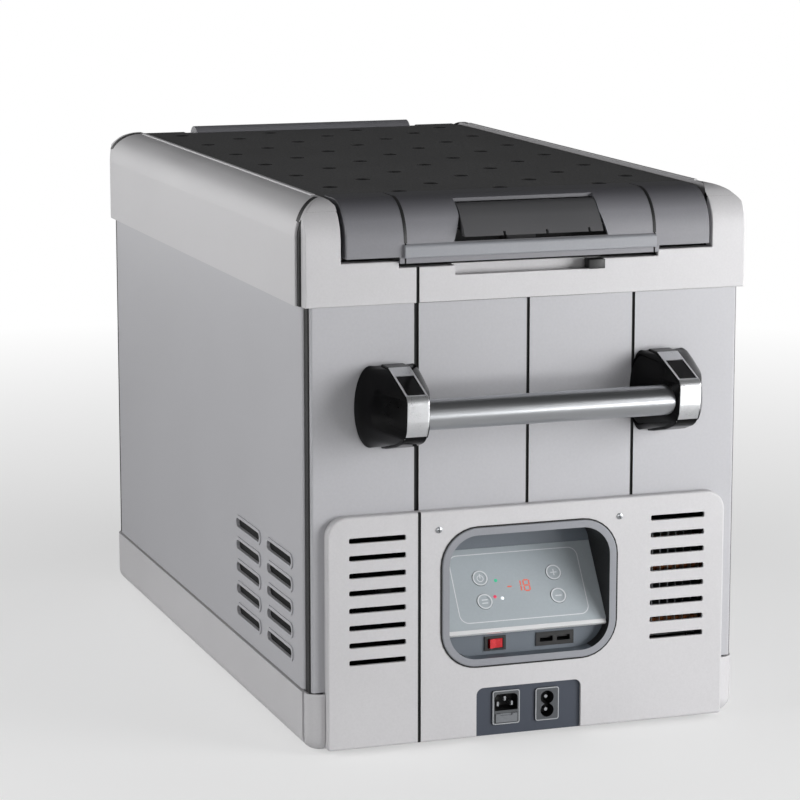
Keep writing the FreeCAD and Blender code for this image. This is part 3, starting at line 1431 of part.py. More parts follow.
def paddle_curve(inset):
    """Start, corner and lower end of the paddle's flared face, moved in by inset."""
    turn = math.radians(paddle_seat_angle)
    out = V(0, math.cos(turn), math.sin(turn))
    along = V(0, -out.z, out.y)
    centre = V(0, hood_centre[0], hood_centre[1])
    start = centre + out * (hood_radius - inset)
    end = V(0, front - hood_front - paddle_proud + inset, paddle_bottom)
    chord = end - start
    bend = chord.getAngle(along)
    side = chord.Length / 2 / math.cos(bend)
    corner = start + along * side
    radius = 0.95 * side / math.tan(bend)
    return (start.y, start.z), (corner.y, corner.z, radius), (end.y, end.z)


def latch_paddle():
    """Pull-up paddle: a knuckle round its pin, a flared face and the hook arm behind it."""
    half, r = paddle_half_width, paddle_knuckle
    axis_y, axis_z = paddle_axis()
    outer, inner = paddle_curve(0.0), paddle_curve(paddle_skin)
    face = prism_x([outer[0], outer[1], outer[2], inner[2], inner[1], inner[0]], (-half, half))
    knuckle = rod(r, (-half, axis_y, axis_z), (half, axis_y, axis_z))
    arm_face = front + lid_front - moulding_wall - latch_clearance
    arm_thick, arm_half, notch_half, notch_high, web = 4.0, 14.0, 1.2, 3.5, 2.0
    arm = prism_x([(arm_face - arm_thick, axis_z), (arm_face, axis_z), (arm_face, hood_bottom + 2),
                   (arm_face - arm_thick, hood_bottom + 2, 2)], (-arm_half, arm_half))
    bottom_y = outer[2][0]
    teeth = [block((x - notch_half, x + notch_half), (bottom_y - 1, bottom_y + 8),
                   (paddle_bottom - 1, paddle_bottom + notch_high)) for x in paddle_notches]
    webs = both_sides(prism_x([outer[0], outer[1], outer[2], (bottom_y + 9, paddle_bottom),
                               (axis_y - 6, axis_z - 6), (axis_y - 2, axis_z)], (half - web, half)))
    bore = rod(paddle_pin_radius + running_clearance, (-100, axis_y, axis_z), (100, axis_y, axis_z))
    return cut(fuse(face, knuckle, arm, *webs), bore, *teeth)


def paddle_pin():
    """Steel pin that the paddle turns on, held in the hood's ears."""
    half = paddle_half_width + 6.0
    axis_y, axis_z = paddle_axis()
    return rod(paddle_pin_radius, (-half, axis_y, axis_z), (half, axis_y, axis_z))


def hinge_barrel():
    """Long hinge barrel on the lid's rear edge, with a flat root against the lid's web."""
    barrel = rod(barrel_radius, (-barrel_half_length, hinge_y, hinge_height),
                 (barrel_half_length, hinge_y, hinge_height))
    root = wide_block(barrel_half_length, (lid_web(), hinge_y - 3.0), (lid_underside, lid_top))
    bore = rod(hinge_pin_radius + running_clearance, (-half_width, hinge_y, hinge_height),
               (half_width, hinge_y, hinge_height))
    return cut(fuse(barrel, root), bore)


def hinge_pin():
    """Hinge pin, pressed into the two brackets."""
    half = barrel_half_length + 10.5
    return rod(hinge_pin_radius, (-half, hinge_y, hinge_height), (half, hinge_y, hinge_height))


def hinge_housing():
    """Dark housing across the rear notch, with two brackets that carry the hinge pin."""
    y0, y1 = rear - 10.0, rear + 6.0
    low, high = hood_bottom - notch_gap, hinge_height - 3.0
    half, wall, shoulder, eye_radius = hood_half_width + 1.0, 3.0, 10.0, 9.0
    eye_start, eye_end = barrel_half_length + 1.5, barrel_half_length + 10.5
    body = prism_x([(y0, low), (y1, low), (y1, high, shoulder), (y0, high)], (-half, half))
    trough = rod(barrel_radius + 1.2, (-half - 1, hinge_y, hinge_height),
                 (half + 1, hinge_y, hinge_height))
    hollow = wide_block(half - wall, (y0 - 1, y1 - wall), (low + wall, high - 14.0))
    body = cut(body, trough, hollow)
    brackets = []
    for side in (-1, 1):
        x0, x1 = sorted((side * eye_start, side * eye_end))
        eye = rod(eye_radius, (x0, hinge_y, hinge_height), (x1, hinge_y, hinge_height))
        leg = prism_x([(hinge_y - 4, hinge_height - 6), (hinge_y + 9, hinge_height),
                       (rear - 5.0, hinge_height - 22), (rear - 5.0, low),
                       (-frame_back + 0.5, low), (-frame_back + 0.5, hinge_height - 18)], (x0, x1))
        brackets.append(fuse(eye, leg))
    pin_hole = rod(hinge_pin_radius, (-200, hinge_y, hinge_height), (200, hinge_y, hinge_height))
    return fuse(body, *brackets).cut(pin_hole)


# ---- inside the tub --------------------------------------------------------------
def basket(y):
    """Open storage basket with a rolled rim, between two y values."""
    half, high, wall = tub_half_width - 9.0, tub_floor + 350.0, 2.4
    outer = prism_z(rectangle((-half, half), y, 14), (tub_floor, high))
    inner = prism_z(rectangle((wall - half, half - wall), (y[0] + wall, y[1] - wall), 12),
                    (tub_floor + wall, high + 1))
    rim = prism_z(rectangle((-half - 2, half + 2), (y[0] - 2, y[1] + 2), 15), (high - 6, high))
    return cut(fuse(outer, rim), inner)


def basket_split():
    """Length range of the deep part, split between two baskets."""
    y0, y1 = deep_front + 6.0, tub_y[1] - 6.0
    middle = (y0 + y1) / 2
    return (y0, middle - 3.0), (middle + 3.0, y1)


def interior_light():
    """Lamp lens on the tub's front wall."""
    y = tub_y[0]
    lens = prism_y(rectangle((-26, 26), (438, 452), 5), (y, y + 4.0))
    return lens.makeChamfer(1.2, [e for e in lens.Edges if e.BoundBox.YMin > y + 3.9])


def build():
    """Every node of the fridge by name."""
    baskets = basket_split()
    return {
        "feet": feet(), "base_tray": base_tray(),
        "left_side_panel": left_side_panel(), "right_side_panel": across(left_side_panel()),
        "left_top_rail": left_top_rail(), "right_top_rail": across(left_top_rail()),
        "front_fascia": front_fascia(), "rear_fascia": rear_fascia(),
        "end_frames": group([front_frame(), other_end(end_frame(0.0))]),
        "front_wall": front_wall(), "rear_wall": rear_wall(),
        "lower_cover": lower_cover(),
        "control_bezel": control_bezel(), "display_plate": display_plate(),
        "display_trim": display_trim(), "display_board": display_board(),
        "mode_key": display_key(0), "power_key": display_key(1),
        "colder_key": display_key(2), "warmer_key": display_key(3),
        "switch_housing": switch_housing(), "main_rocker": main_rocker(), "usb_block": usb_block(),
        "power_panel": power_panel(), "ac_inlet": ac_inlet(), "fuse_drawer": fuse_drawer(),
        "fuse_link": fuse_link(), "dc_inlet": dc_inlet(), "inlet_pins": inlet_pins(),
        "inner_tub": inner_tub(), "tub_collar": tub_collar(), "insulation": insulation(),
        "evaporator_plate": evaporator_plate(), "bay_bulkhead": bay_bulkhead(),
        "compressor": compressor(), "compressor_mount": compressor_mount(),
        "compressor_grommets": compressor_grommets(),
        "condenser_fins": condenser_fins(), "fan_frame": fan_frame(), "fan_rotor": fan_rotor(),
        "refrigerant_pipes": refrigerant_pipes(), "filter_drier": filter_drier(),
        "controller_box": controller_box(),
        "handle_pods": group(front_pods() + [other_end(p) for p in front_pods()]),
        "handle_tubes": group([front_tube(), other_end(front_tube())]),
        "pod_caps": pod_caps(), "handle_screws": handle_screws(),
        "lid_shell": lid_shell(), "lid_foam": lid_foam(), "lid_liner": lid_liner(),
        "lid_gasket": lid_gasket(), "latch_cover": latch_cover(), "latch_paddle": latch_paddle(),
        "paddle_pin": paddle_pin(),
        "hinge_barrel": hinge_barrel(), "hinge_pin": hinge_pin(),
        "hinge_housing": hinge_housing(),
        "front_basket": basket(baskets[0]), "rear_basket": basket(baskets[1]),
        "interior_light": interior_light(),
    }


os.makedirs("parts", exist_ok=True)
for name, shape in build().items():
    shape.exportStep("parts/" + name + ".step")
    solids = len(shape.Solids)
    print(name, "solids", solids, "valid", shape.isValid(), "volume", round(shape.Volume))
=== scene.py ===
"""Finishes and small pieces of a chest-type compressor fridge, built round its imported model.

The file is laid out as an add-on and run as a script. Each operator finishes or builds one
group of pieces. Lengths are in metres, sizes written with MM are millimetres, and colours
are sRGB hex values that one function turns to linear.
"""
import json
import math

import bmesh
import bpy
from bpy.props import FloatProperty, FloatVectorProperty, PointerProperty
from bpy.types import Operator, Panel, PropertyGroup
from mathutils import Matrix, Vector


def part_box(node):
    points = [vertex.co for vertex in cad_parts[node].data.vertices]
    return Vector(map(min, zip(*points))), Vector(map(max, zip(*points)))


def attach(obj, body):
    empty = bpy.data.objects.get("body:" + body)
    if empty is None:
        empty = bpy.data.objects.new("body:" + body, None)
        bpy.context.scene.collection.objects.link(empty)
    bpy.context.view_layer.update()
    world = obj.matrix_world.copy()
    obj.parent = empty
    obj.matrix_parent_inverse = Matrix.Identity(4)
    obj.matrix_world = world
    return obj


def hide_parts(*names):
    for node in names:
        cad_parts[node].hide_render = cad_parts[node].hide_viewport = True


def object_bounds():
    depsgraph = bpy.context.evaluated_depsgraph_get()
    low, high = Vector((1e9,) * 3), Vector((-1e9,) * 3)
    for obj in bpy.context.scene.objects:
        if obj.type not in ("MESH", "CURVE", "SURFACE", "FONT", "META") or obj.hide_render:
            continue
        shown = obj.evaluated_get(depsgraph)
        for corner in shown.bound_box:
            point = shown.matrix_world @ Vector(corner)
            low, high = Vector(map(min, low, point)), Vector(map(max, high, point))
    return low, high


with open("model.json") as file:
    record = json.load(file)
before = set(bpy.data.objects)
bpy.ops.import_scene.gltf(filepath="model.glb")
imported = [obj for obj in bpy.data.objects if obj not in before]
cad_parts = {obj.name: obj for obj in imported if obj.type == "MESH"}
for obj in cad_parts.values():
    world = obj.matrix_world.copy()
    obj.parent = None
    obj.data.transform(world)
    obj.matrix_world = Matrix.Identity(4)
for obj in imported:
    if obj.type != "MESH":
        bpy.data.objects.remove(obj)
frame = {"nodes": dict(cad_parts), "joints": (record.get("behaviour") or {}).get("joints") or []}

bl_info = {
    "name": "Compressor fridge",
    "version": (1, 0, 0),
    "blender": (4, 5, 0),
    "location": "View3D > Sidebar > Fridge",
    "description": "Finishes and small pieces of a chest-type compressor fridge",
    "category": "Object",
}

MM = 0.001
CAD_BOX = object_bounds()
NODES = frame["nodes"]
JOINTS = {joint["child"]: joint for joint in frame["joints"]}
PLASTIC_IOR = 1.53
SHARP_ANGLE = math.radians(35)

# Places on the fridge in millimetres, measured from its middle and from the floor.
BAND_SIDE, BAND_SIDE_RADIUS = CAD_BOX[1].x / MM, 32.0
BAND_END, BAND_END_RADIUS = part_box("rear_fascia")[1].y / MM, 38.0
BAND_TOP = 512.0
END_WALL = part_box("rear_wall")[1].y / MM
POD_OUTER, POD_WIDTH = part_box("handle_pods")[1].x / MM, 22.0
HOOD_JOINT = 122.0
FRONT_SEAMS = ((-109.0, 2.4), (0.0, 1.6), (105.0, 1.6))

# Softboxes: name, power setting, azimuth and elevation in degrees, distance and side in metres.
SOFTBOXES = (
    ("key_softbox", "key_power", 46, 8, 2.4, 1.3),
    ("front_softbox", "fill_power", -8, 3, 3.8, 2.0),
    ("left_softbox", "side_power", -84, 16, 2.1, 1.2),
    ("strip_softbox", "strip_power", 27, -3, 2.4, 0.3),
    ("right_softbox", "fill_power", 115, 6, 3.8, 2.0),
    ("rear_softbox", "fill_power", 205, 4, 3.8, 2.0),
)


def linear(code):
    """Linear colour of an sRGB hex value such as c9c8ca."""
    parts = [int(code[i:i + 2], 16) / 255 for i in (0, 2, 4)]
    return tuple(p / 12.92 if p <= 0.04045 else ((p + 0.055) / 1.055) ** 2.4 for p in parts)


# ---- settings --------------------------------------------------------------------
def colour_setting(name, description, code):
    """Colour property with an sRGB hex value as its default."""
    return FloatVectorProperty(name=name, description=description, subtype="COLOR", size=3,
                               min=0.0, max=1.0, default=linear(code))


def length_setting(name, description, millimetres):
    """Length property with a default in millimetres."""
    return FloatProperty(name=name, description=description, subtype="DISTANCE", unit="LENGTH",
                         min=0.0, default=millimetres * MM)


class FridgeColours(PropertyGroup):
    """Colours that a user would change."""
    moulding: colour_setting("Mouldings", "Upper band, base and lower cover", "c6c5c7")
    panel: colour_setting("Panels", "Side panels and end walls", "b3b3b7")
    lid: colour_setting("Lid", "Grained lid skin", "606061")
    hood: colour_setting("Hood", "Latch hood and hinge housing", "7e7e83")
    paddle: colour_setting("Paddle", "Pull-up latch paddle", "565658")
    bezel: colour_setting("Bezel", "Ring round the display", "8b8d93")
    recess: colour_setting("Recess", "Shelf and ceiling of the display recess", "626a73")
    display: colour_setting("Display", "Display plate", "b2babf")
    sockets: colour_setting("Sockets", "Plate behind the power inlets", "333a47")
    liner: colour_setting("Liner", "Tub and inner lid", "dfe1e2")


class FridgeSizes(PropertyGroup):
    """Sizes that a user would change."""
    print_width: length_setting("Print line", "Width of the printed lines on the display", 0.9)
    digit_height: length_setting("Digit height", "Height of the temperature digits", 12.0)
    basket_wire: length_setting("Basket wire", "Thickness of the basket's wire", 2.4)
    basket_mesh: length_setting("Basket mesh", "Spacing of the basket's wires", 19.0)
    screw_head: length_setting("Screw head", "Diameter of the cover's screw heads", 6.4)
    lid_grain: length_setting("Lid grain", "Size of a pebble of the lid's grain", 2.4)


class FridgeStage(PropertyGroup):
    """Camera and lamps."""
    lens: FloatProperty(name="Lens", description="Focal length of the camera", unit="CAMERA",
                        default=138.0)
    eye: FloatVectorProperty(name="Eye", description="Place of the camera", subtype="TRANSLATION",
                             unit="LENGTH", size=3, default=(-1.022, -2.956, 0.832))
    key_power: FloatProperty(name="Key light", description="Power of the front right softbox",
                             unit="POWER", default=45.0)
    fill_power: FloatProperty(name="Fill light", description="Power of the wide softboxes",
                              unit="POWER", default=23.0)
    side_power: FloatProperty(name="Side light", description="Power of the left softbox",
                              unit="POWER", default=20.5)
    strip_power: FloatProperty(name="Strip light", description="Power of the small low softbox",
                               unit="POWER", default=6.5)
    ambient: FloatProperty(name="Ambient", description="Strength of the light from all round",
                           default=0.08)
    floor_size: FloatProperty(name="Floor size", description="Side of the floor", unit="LENGTH",
                              default=80.0)


# ---- material tools --------------------------------------------------------------
def add(tree, kind, inputs=None, **settings):
    """Adds a node with its settings. Each input is a value or the output that feeds it."""
    node = tree.nodes.new("ShaderNode" + kind)
    for name, value in settings.items():
        setattr(node, name, value)
    for name, value in (inputs or {}).items():
        if isinstance(value, bpy.types.NodeSocket):
            tree.links.new(value, node.inputs[name])
        else:
            node.inputs[name].default_value = value
    return node


def blank(name):
    """New material with its tree, its shader and the piece's own coordinates."""
    material = bpy.data.materials.new(name)
    material.use_nodes = True
    tree = material.node_tree
    tree.nodes.clear()
    shader = add(tree, "BsdfPrincipled")
    add(tree, "OutputMaterial", {"Surface": shader.outputs["BSDF"]})
    place = add(tree, "TexCoord").outputs["Object"]
    return material, tree, shader, place


def shaded(colour, share):
    """A colour made lighter or darker by a share of itself, as RGBA."""
    return tuple(min(1.0, c * (1 + share)) for c in colour) + (1.0,)


def surface(name, colour, cloud, grain, rise, rough, swing=0.06, pull=(1.0, 1.0, 1.0), **sockets):
    """Material with clouds in its colour and a fine grain in its roughness and relief.

    cloud and grain are the sizes of the two patterns and rise is the grain's height, all in
    millimetres. rough is the roughness range, swing how far the colour varies, and pull
    stretches the pattern: a small number along one axis draws it out into lines.
    """
    material, tree, shader, place = blank(name)
    drawn = add(tree, "Mapping", {"Vector": place, "Scale": pull}).outputs["Vector"]
    clouds = add(tree, "TexNoise", {"Vector": drawn, "Scale": 1 / (cloud * MM), "Detail": 3.0})
    specks = add(tree, "TexNoise", {"Vector": drawn, "Scale": 1 / (grain * MM), "Detail": 2.0})
    both = add(tree, "Math", {0: clouds.outputs["Fac"], 1: specks.outputs["Fac"]}, operation="ADD")
    tone = add(tree, "MapRange", {"Value": both.outputs[0], "From Min": 0.7, "From Max": 1.3})
    mix = add(tree, "Mix", {0: tone.outputs["Result"], 6: shaded(colour, -swing),
                            7: shaded(colour, swing)}, data_type="RGBA")
    sheen = add(tree, "MapRange", {"Value": both.outputs[0], "From Min": 0.7, "From Max": 1.3,
                                   "To Min": rough[0], "To Max": rough[1]})
    relief = add(tree, "Bump", {"Height": specks.outputs["Fac"], "Distance": rise * MM,
                                "Strength": 1.0})
    tree.links.new(mix.outputs[2], shader.inputs["Base Color"])
    tree.links.new(sheen.outputs["Result"], shader.inputs["Roughness"])
    tree.links.new(relief.outputs["Normal"], shader.inputs["Normal"])
    for socket, value in sockets.items():
        shader.inputs[socket.replace("_", " ")].default_value = value
    return material


# ---- materials -------------------------------------------------------------------
# A grain finer than about a millimetre is too fine to show in a render of the whole fridge.
# Spark-erosion grain, frosting and ink grain (0.1 mm), metal flake (0.05 mm), drawing and
# rolling lines (0.1 mm), foam cells (0.4 mm) and glass weave (0.5 mm) are therefore drawn
# 0.8 to 2 mm coarse. The other patterns are drawn at their real sizes.
def moulded_abs(name, colour):
    """ABS from a spark-eroded tool: an even satin that breaks up highlights."""
    return surface(name, colour, cloud=120, grain=1.8, rise=0.03, rough=(0.40, 0.52),
                   swing=0.035, IOR=PLASTIC_IOR)


def abs_with_painted_top_shade(name, colour, top):
    """ABS of a band that rolls over the lid's edge, with painted shade: it is drawn darker where it
    turns to face up.
    """
    turn_start, turn_end = 493 * MM, 509 * MM
    material = moulded_abs(name, colour)
    tree = material.node_tree
    shader = next(n for n in tree.nodes if n.type == "BSDF_PRINCIPLED")
    even = shader.inputs["Base Color"].links[0].from_socket
    place = add(tree, "TexCoord").outputs["Object"]
    height = add(tree, "SeparateXYZ", {"Vector": place}).outputs["Z"]
    shade_share = add(tree, "MapRange", {"Value": height, "From Min": turn_start,
                                    "From Max": turn_end})
    # Painted shade: between these heights the colour runs to the darker top colour.
    mix = add(tree, "Mix", {0: shade_share.outputs["Result"], 6: even, 7: shaded(top, 0.0)},
              data_type="RGBA")
    tree.links.new(mix.outputs[2], shader.inputs["Base Color"])
    return material


def powder_coat(name, colour):
    """Powder coat on sheet: orange peel that ripples reflections a little."""
    return surface(name, colour, cloud=160, grain=2.6, rise=0.035, rough=(0.34, 0.46),
                   swing=0.03, IOR=1.5)


def pebbled_lid(colour, pebble):
    """Polypropylene with a leather grain: dull pebbles, drawn with painted shade in the valleys and
    painted light on the tops, mixed with random clouds.
    """
    warp_size, warp_share, cloud_size, relief_height = 9 * MM, 0.0015, 70 * MM, 0.30 * MM
    valley, pebble_top = 0.75, 0.15
    # Painted shade and light: valleys darker, pebble tops lighter.
    darker, lighter = shaded(colour, -0.35), shaded(colour, 0.30)
    material, tree, shader, place = blank("grained_polypropylene")
    warp = add(tree, "TexNoise", {"Vector": place, "Scale": 1 / warp_size, "Detail": 2.0})
    moved = add(tree, "Mix", {0: warp_share, 4: place, 5: warp.outputs["Color"]},
                data_type="VECTOR")
    cells = add(tree, "TexVoronoi", {"Vector": moved.outputs[1], "Scale": 1 / pebble,
                                     "Smoothness": 0.6}, feature="SMOOTH_F1")
    domes = add(tree, "MapRange", {"Value": cells.outputs["Distance"], "From Min": pebble_top,
                                   "From Max": valley, "To Min": 1.0, "To Max": 0.0})
    clouds = add(tree, "TexNoise", {"Vector": place, "Scale": 1 / cloud_size, "Detail": 3.0})
    tone = add(tree, "Math", {0: domes.outputs["Result"], 1: clouds.outputs["Fac"]},
               operation="MULTIPLY")
    mix = add(tree, "Mix", {0: tone.outputs[0], 6: darker, 7: lighter}, data_type="RGBA")
    sheen = add(tree, "MapRange", {"Value": clouds.outputs["Fac"], "To Min": 0.50, "To Max": 0.68})
    relief = add(tree, "Bump", {"Height": domes.outputs["Result"], "Distance": relief_height,
                                "Strength": 1.0})
    tree.links.new(mix.outputs[2], shader.inputs["Base Color"])
    tree.links.new(sheen.outputs["Result"], shader.inputs["Roughness"])
    tree.links.new(relief.outputs["Normal"], shader.inputs["Normal"])
    shader.inputs["IOR"].default_value = 1.49
    return material


def polished_black():
    """High-gloss black ABS: deep black with a clear hard reflection and faint smears."""
    return surface("polished_black_abs", linear("0a0a0b"), cloud=28, grain=9, rise=0.01,
                   rough=(0.10, 0.20), swing=0.15, IOR=1.16)


def black_abs():
    """Plain black moulding: dull, with a fine grain."""
    return surface("black_abs", linear("161617"), cloud=60, grain=1.6, rise=0.03,
                   rough=(0.45, 0.62), swing=0.12, IOR=PLASTIC_IOR)


def silver_paint():
    """Satin silver lacquer over plastic: soft metallic flake under a clear coat."""
    return surface("satin_silver_lacquer", linear("d8d9db"), cloud=18, grain=0.9, rise=0.008,
                   rough=(0.26, 0.36), swing=0.06, Metallic=0.85)


def anodised_tube():
    """Drawn and anodised aluminium: fine lines along the tube draw out the highlight."""
    return surface("satin_anodised_aluminium", linear("b6b8bb"), cloud=9, grain=1.4, rise=0.004,
                   rough=(0.28, 0.34), swing=0.03, pull=(0.02, 1.0, 1.0), Metallic=1.0,
                   Anisotropic=0.35)


def trim_with_painted_highlight():
    """Anodised strip drawn near white with little metal: a painted highlight along the plate's
    lower edge, with faint drawing lines.
    """
    return surface("bright_anodised_strip", linear("f6f7f8"), cloud=12, grain=1.0, rise=0.006,
                   rough=(0.20, 0.30), swing=0.04, pull=(0.03, 1.0, 1.0), Metallic=0.2)


def mill_aluminium():
    """Rolled aluminium sheet: long faint rolling lines."""
    return surface("mill_finish_aluminium", linear("b9bcbf"), cloud=30, grain=1.5, rise=0.01,
                   rough=(0.30, 0.44), swing=0.08, pull=(0.08, 1.0, 1.0), Metallic=1.0)


def zinc_plate():
    """Zinc-plated steel: bright, slightly mottled."""
    return surface("zinc_plated_steel", linear("b4b7ba"), cloud=7, grain=1.2, rise=0.01,
                   rough=(0.22, 0.40), swing=0.10, Metallic=1.0)


def spangled_sheet():
    """Hot-dip galvanised sheet: large crystals, each with its own grey and gloss."""
    material, tree, shader, place = blank("galvanised_sheet")
    crystals = add(tree, "TexVoronoi", {"Vector": place, "Scale": 1 / (14 * MM)})
    grey = add(tree, "RGBToBW", {"Color": crystals.outputs["Color"]})
    mix = add(tree, "Mix", {0: grey.outputs[0], 6: (*linear("8b8f92"), 1.0),
                            7: (*linear("bcc0c3"), 1.0)}, data_type="RGBA")
    sheen = add(tree, "MapRange", {"Value": grey.outputs[0], "To Min": 0.28, "To Max": 0.55})
    relief = add(tree, "Bump", {"Height": grey.outputs[0], "Distance": 0.02 * MM})
    tree.links.new(mix.outputs[2], shader.inputs["Base Color"])
    tree.links.new(sheen.outputs["Result"], shader.inputs["Roughness"])
    tree.links.new(relief.outputs["Normal"], shader.inputs["Normal"])
    shader.inputs["Metallic"].default_value = 0.9
    return material


def copper_pipe():
    """Drawn copper pipe: warm metal with darker heat stains."""
    return surface("drawn_copper", linear("b87246"), cloud=22, grain=2.0, rise=0.01,
                   rough=(0.22, 0.46), swing=0.22, Metallic=1.0)


def black_enamel():
    """Stoved black enamel on the compressor shell: glossy with orange peel."""
    return surface("stoved_black_enamel", linear("121213"), cloud=45, grain=3.0, rise=0.04,
                   rough=(0.16, 0.30), swing=0.2, IOR=1.5)


def white_liner(colour):
    """Vacuum-formed polystyrene: smooth, soft gloss with a trace of flow."""
    return surface("formed_white_polystyrene", colour, cloud=80, grain=4.0, rise=0.012,
                   rough=(0.30, 0.36), swing=0.015, IOR=1.59)


def black_rubber():
    """Moulded rubber: matt and faintly dusty."""
    return surface("moulded_rubber", linear("1d1d1e"), cloud=25, grain=1.2, rise=0.04,
                   rough=(0.68, 0.85), swing=0.15, IOR=1.52)


def rigid_foam():
    """Poured polyurethane foam: straw coloured, pitted with cells."""
    return surface("poured_polyurethane_foam", linear("d8c48c"), cloud=35, grain=1.6, rise=0.25,
                   rough=(0.75, 0.9), swing=0.12, IOR=1.4)


def slot_shade_foam():
    """Black open-cell foam, coarse and quite without gloss, that stands as painted shade behind the
    side slots.
    """
    return surface("open_cell_filter_foam", linear("0e0e0f"), cloud=9, grain=2.4, rise=0.5,
                   rough=(0.85, 0.97), swing=0.4, IOR=1.45)


def solder_mask():
    """Green solder mask on glass fibre: glossy with a faint weave."""
    return surface("solder_masked_board", linear("1f5a33"), cloud=12, grain=1.5, rise=0.02,
                   rough=(0.25, 0.40), swing=0.15, IOR=1.55)


def display_acrylic(colour):
    """Grey-backed acrylic plate: flat colour under a clear hard surface."""
    return surface("backed_acrylic", colour, cloud=60, grain=2.2, rise=0.006, rough=(0.10, 0.17),
                   swing=0.025, IOR=1.49, Coat_Weight=0.5, Coat_Roughness=0.04)


def red_rocker_plastic():
    """Translucent red polycarbonate rocker: saturated with a soft inner glow."""
    return surface("red_polycarbonate", linear("c3242c"), cloud=9, grain=1.6, rise=0.01,
                   rough=(0.18, 0.28), swing=0.10, IOR=1.58, Subsurface_Weight=0.15,
                   Subsurface_Scale=2 * MM)


def clear_glass():
    """Fuse tube glass: thin clear wall with faint drawing lines."""
    return surface("fuse_glass", linear("eef2f2"), cloud=10, grain=2.0, rise=0.004,
                   rough=(0.02, 0.08), swing=0.02, IOR=1.5, Transmission_Weight=0.9)


def frosted_lens():
    """Frosted polycarbonate lens: milky, soft."""
    return surface("frosted_polycarbonate", linear("eef0ec"), cloud=14, grain=1.2, rise=0.02,
                   rough=(0.35, 0.5), swing=0.03, IOR=1.58, Transmission_Weight=0.35)


def coated_wire():
    """Wire dipped in white polyethylene: soft gloss with a faint wave."""
    return surface("coated_wire", linear("d9dbdc"), cloud=20, grain=2.0, rise=0.02,
                   rough=(0.3, 0.42), swing=0.04, IOR=1.5)


def socket_plastic():
    """Glass-filled nylon of the fuse drawer: mid grey and dull."""
    return surface("grey_socket_plastic", linear("6f7276"), cloud=12, grain=1.4, rise=0.02,
                   rough=(0.38, 0.5), swing=0.05, IOR=PLASTIC_IOR)


def pad_print():
    """Pad-printed pale grey line: a thin film that lets the grain through."""
    return surface("pale_grey_pad_print", linear("a4a7ab"), cloud=5, grain=0.8, rise=0.01,
                   rough=(0.4, 0.55), swing=0.06, IOR=1.5)


def white_print():
    """Screen-printed white ink: opaque with a slightly uneven film."""
    return surface("white_screen_ink", linear("dadde0"), cloud=4, grain=0.8, rise=0.008,
                   rough=(0.40, 0.55), swing=0.05, IOR=1.5)


def lit(name, code, strength):
    """Light-emitting diode behind a diffusing window: a bright even colour."""
    return surface(name, linear(code), cloud=3, grain=0.8, rise=0.004, rough=(0.3, 0.4),
                   swing=0.08, IOR=1.5, Emission_Color=(*linear(code), 1.0),
                   Emission_Strength=strength)


# ---- piece tools -----------------------------------------------------------------
def finish_nodes(material, *names):
    """Gives nodes of the model a material."""
    for name in names:
        NODES[name].data.materials.clear()
        NODES[name].data.materials.append(material)


def as_piece(name, bm, materials, body):
    """Makes a bmesh into a piece that rides on a body and takes its finish from a slot."""
    mesh = bpy.data.meshes.new(name)
    bm.to_mesh(mesh)
    bm.free()
    for material in materials:
        mesh.materials.append(material)
    mesh.polygons.foreach_set("use_smooth", [True] * len(mesh.polygons))
    mesh.set_sharp_from_angle(angle=SHARP_ANGLE)
    made = bpy.data.objects.new(name, mesh)
    bpy.context.scene.collection.objects.link(made)
    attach(made, body)
    return made


def recoloured(name, node, body, materials, rule):
    """Copy of a node whose faces choose their material by place and direction."""
    mesh = NODES[node].data.copy()
    mesh.name = name
    mesh.materials.clear()
    for material in materials:
        mesh.materials.append(material)
    for face in mesh.polygons:
        face.material_index = rule(face.center, face.normal)
    made = bpy.data.objects.new(name, mesh)
    bpy.context.scene.collection.objects.link(made)
    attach(made, body)
    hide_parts(node)
    return made


def ring(bm, radius, width, height, place):
    """Flat ring: a small rectangle spun once round the middle of its place."""
    corners = [(radius, 0), (radius + width, 0), (radius + width, height), (radius, height)]
    verts = [bm.verts.new(place @ Vector((x, 0, z))) for x, z in corners]
    edges = [bm.edges.new((verts[i - 1], verts[i])) for i in range(4)]
    middle, axis = place.to_translation(), place.to_3x3() @ Vector((0, 0, 1))
    bmesh.ops.spin(bm, geom=verts + edges, cent=middle, axis=axis, angle=math.tau, steps=40,
                   use_merge=True)
    bmesh.ops.recalc_face_normals(bm, faces=bm.faces)


def stroke(bm, size, place):
    """Thin printed stroke: a bar with softened corners, standing on its place."""
    made = bmesh.ops.create_cube(bm, size=1.0)["verts"]
    bmesh.ops.scale(bm, vec=size, verts=made)
    upright = [e for e in {e for v in made for e in v.link_edges}
               if abs(e.verts[0].co.z - e.verts[1].co.z) > size[2] / 2]
    soft = 0.3 * min(size[0], size[1])
    rounded = bmesh.ops.bevel(bm, geom=upright, offset=soft, offset_type="OFFSET", segments=3,
                              profile=0.5, affect="EDGES", material=-1)
    verts = list({v for f in rounded["faces"] for v in f.verts} | {v for v in made if v.is_valid})
    bmesh.ops.transform(bm, matrix=place @ Matrix.Translation((0, 0, size[2] / 2)), verts=verts)


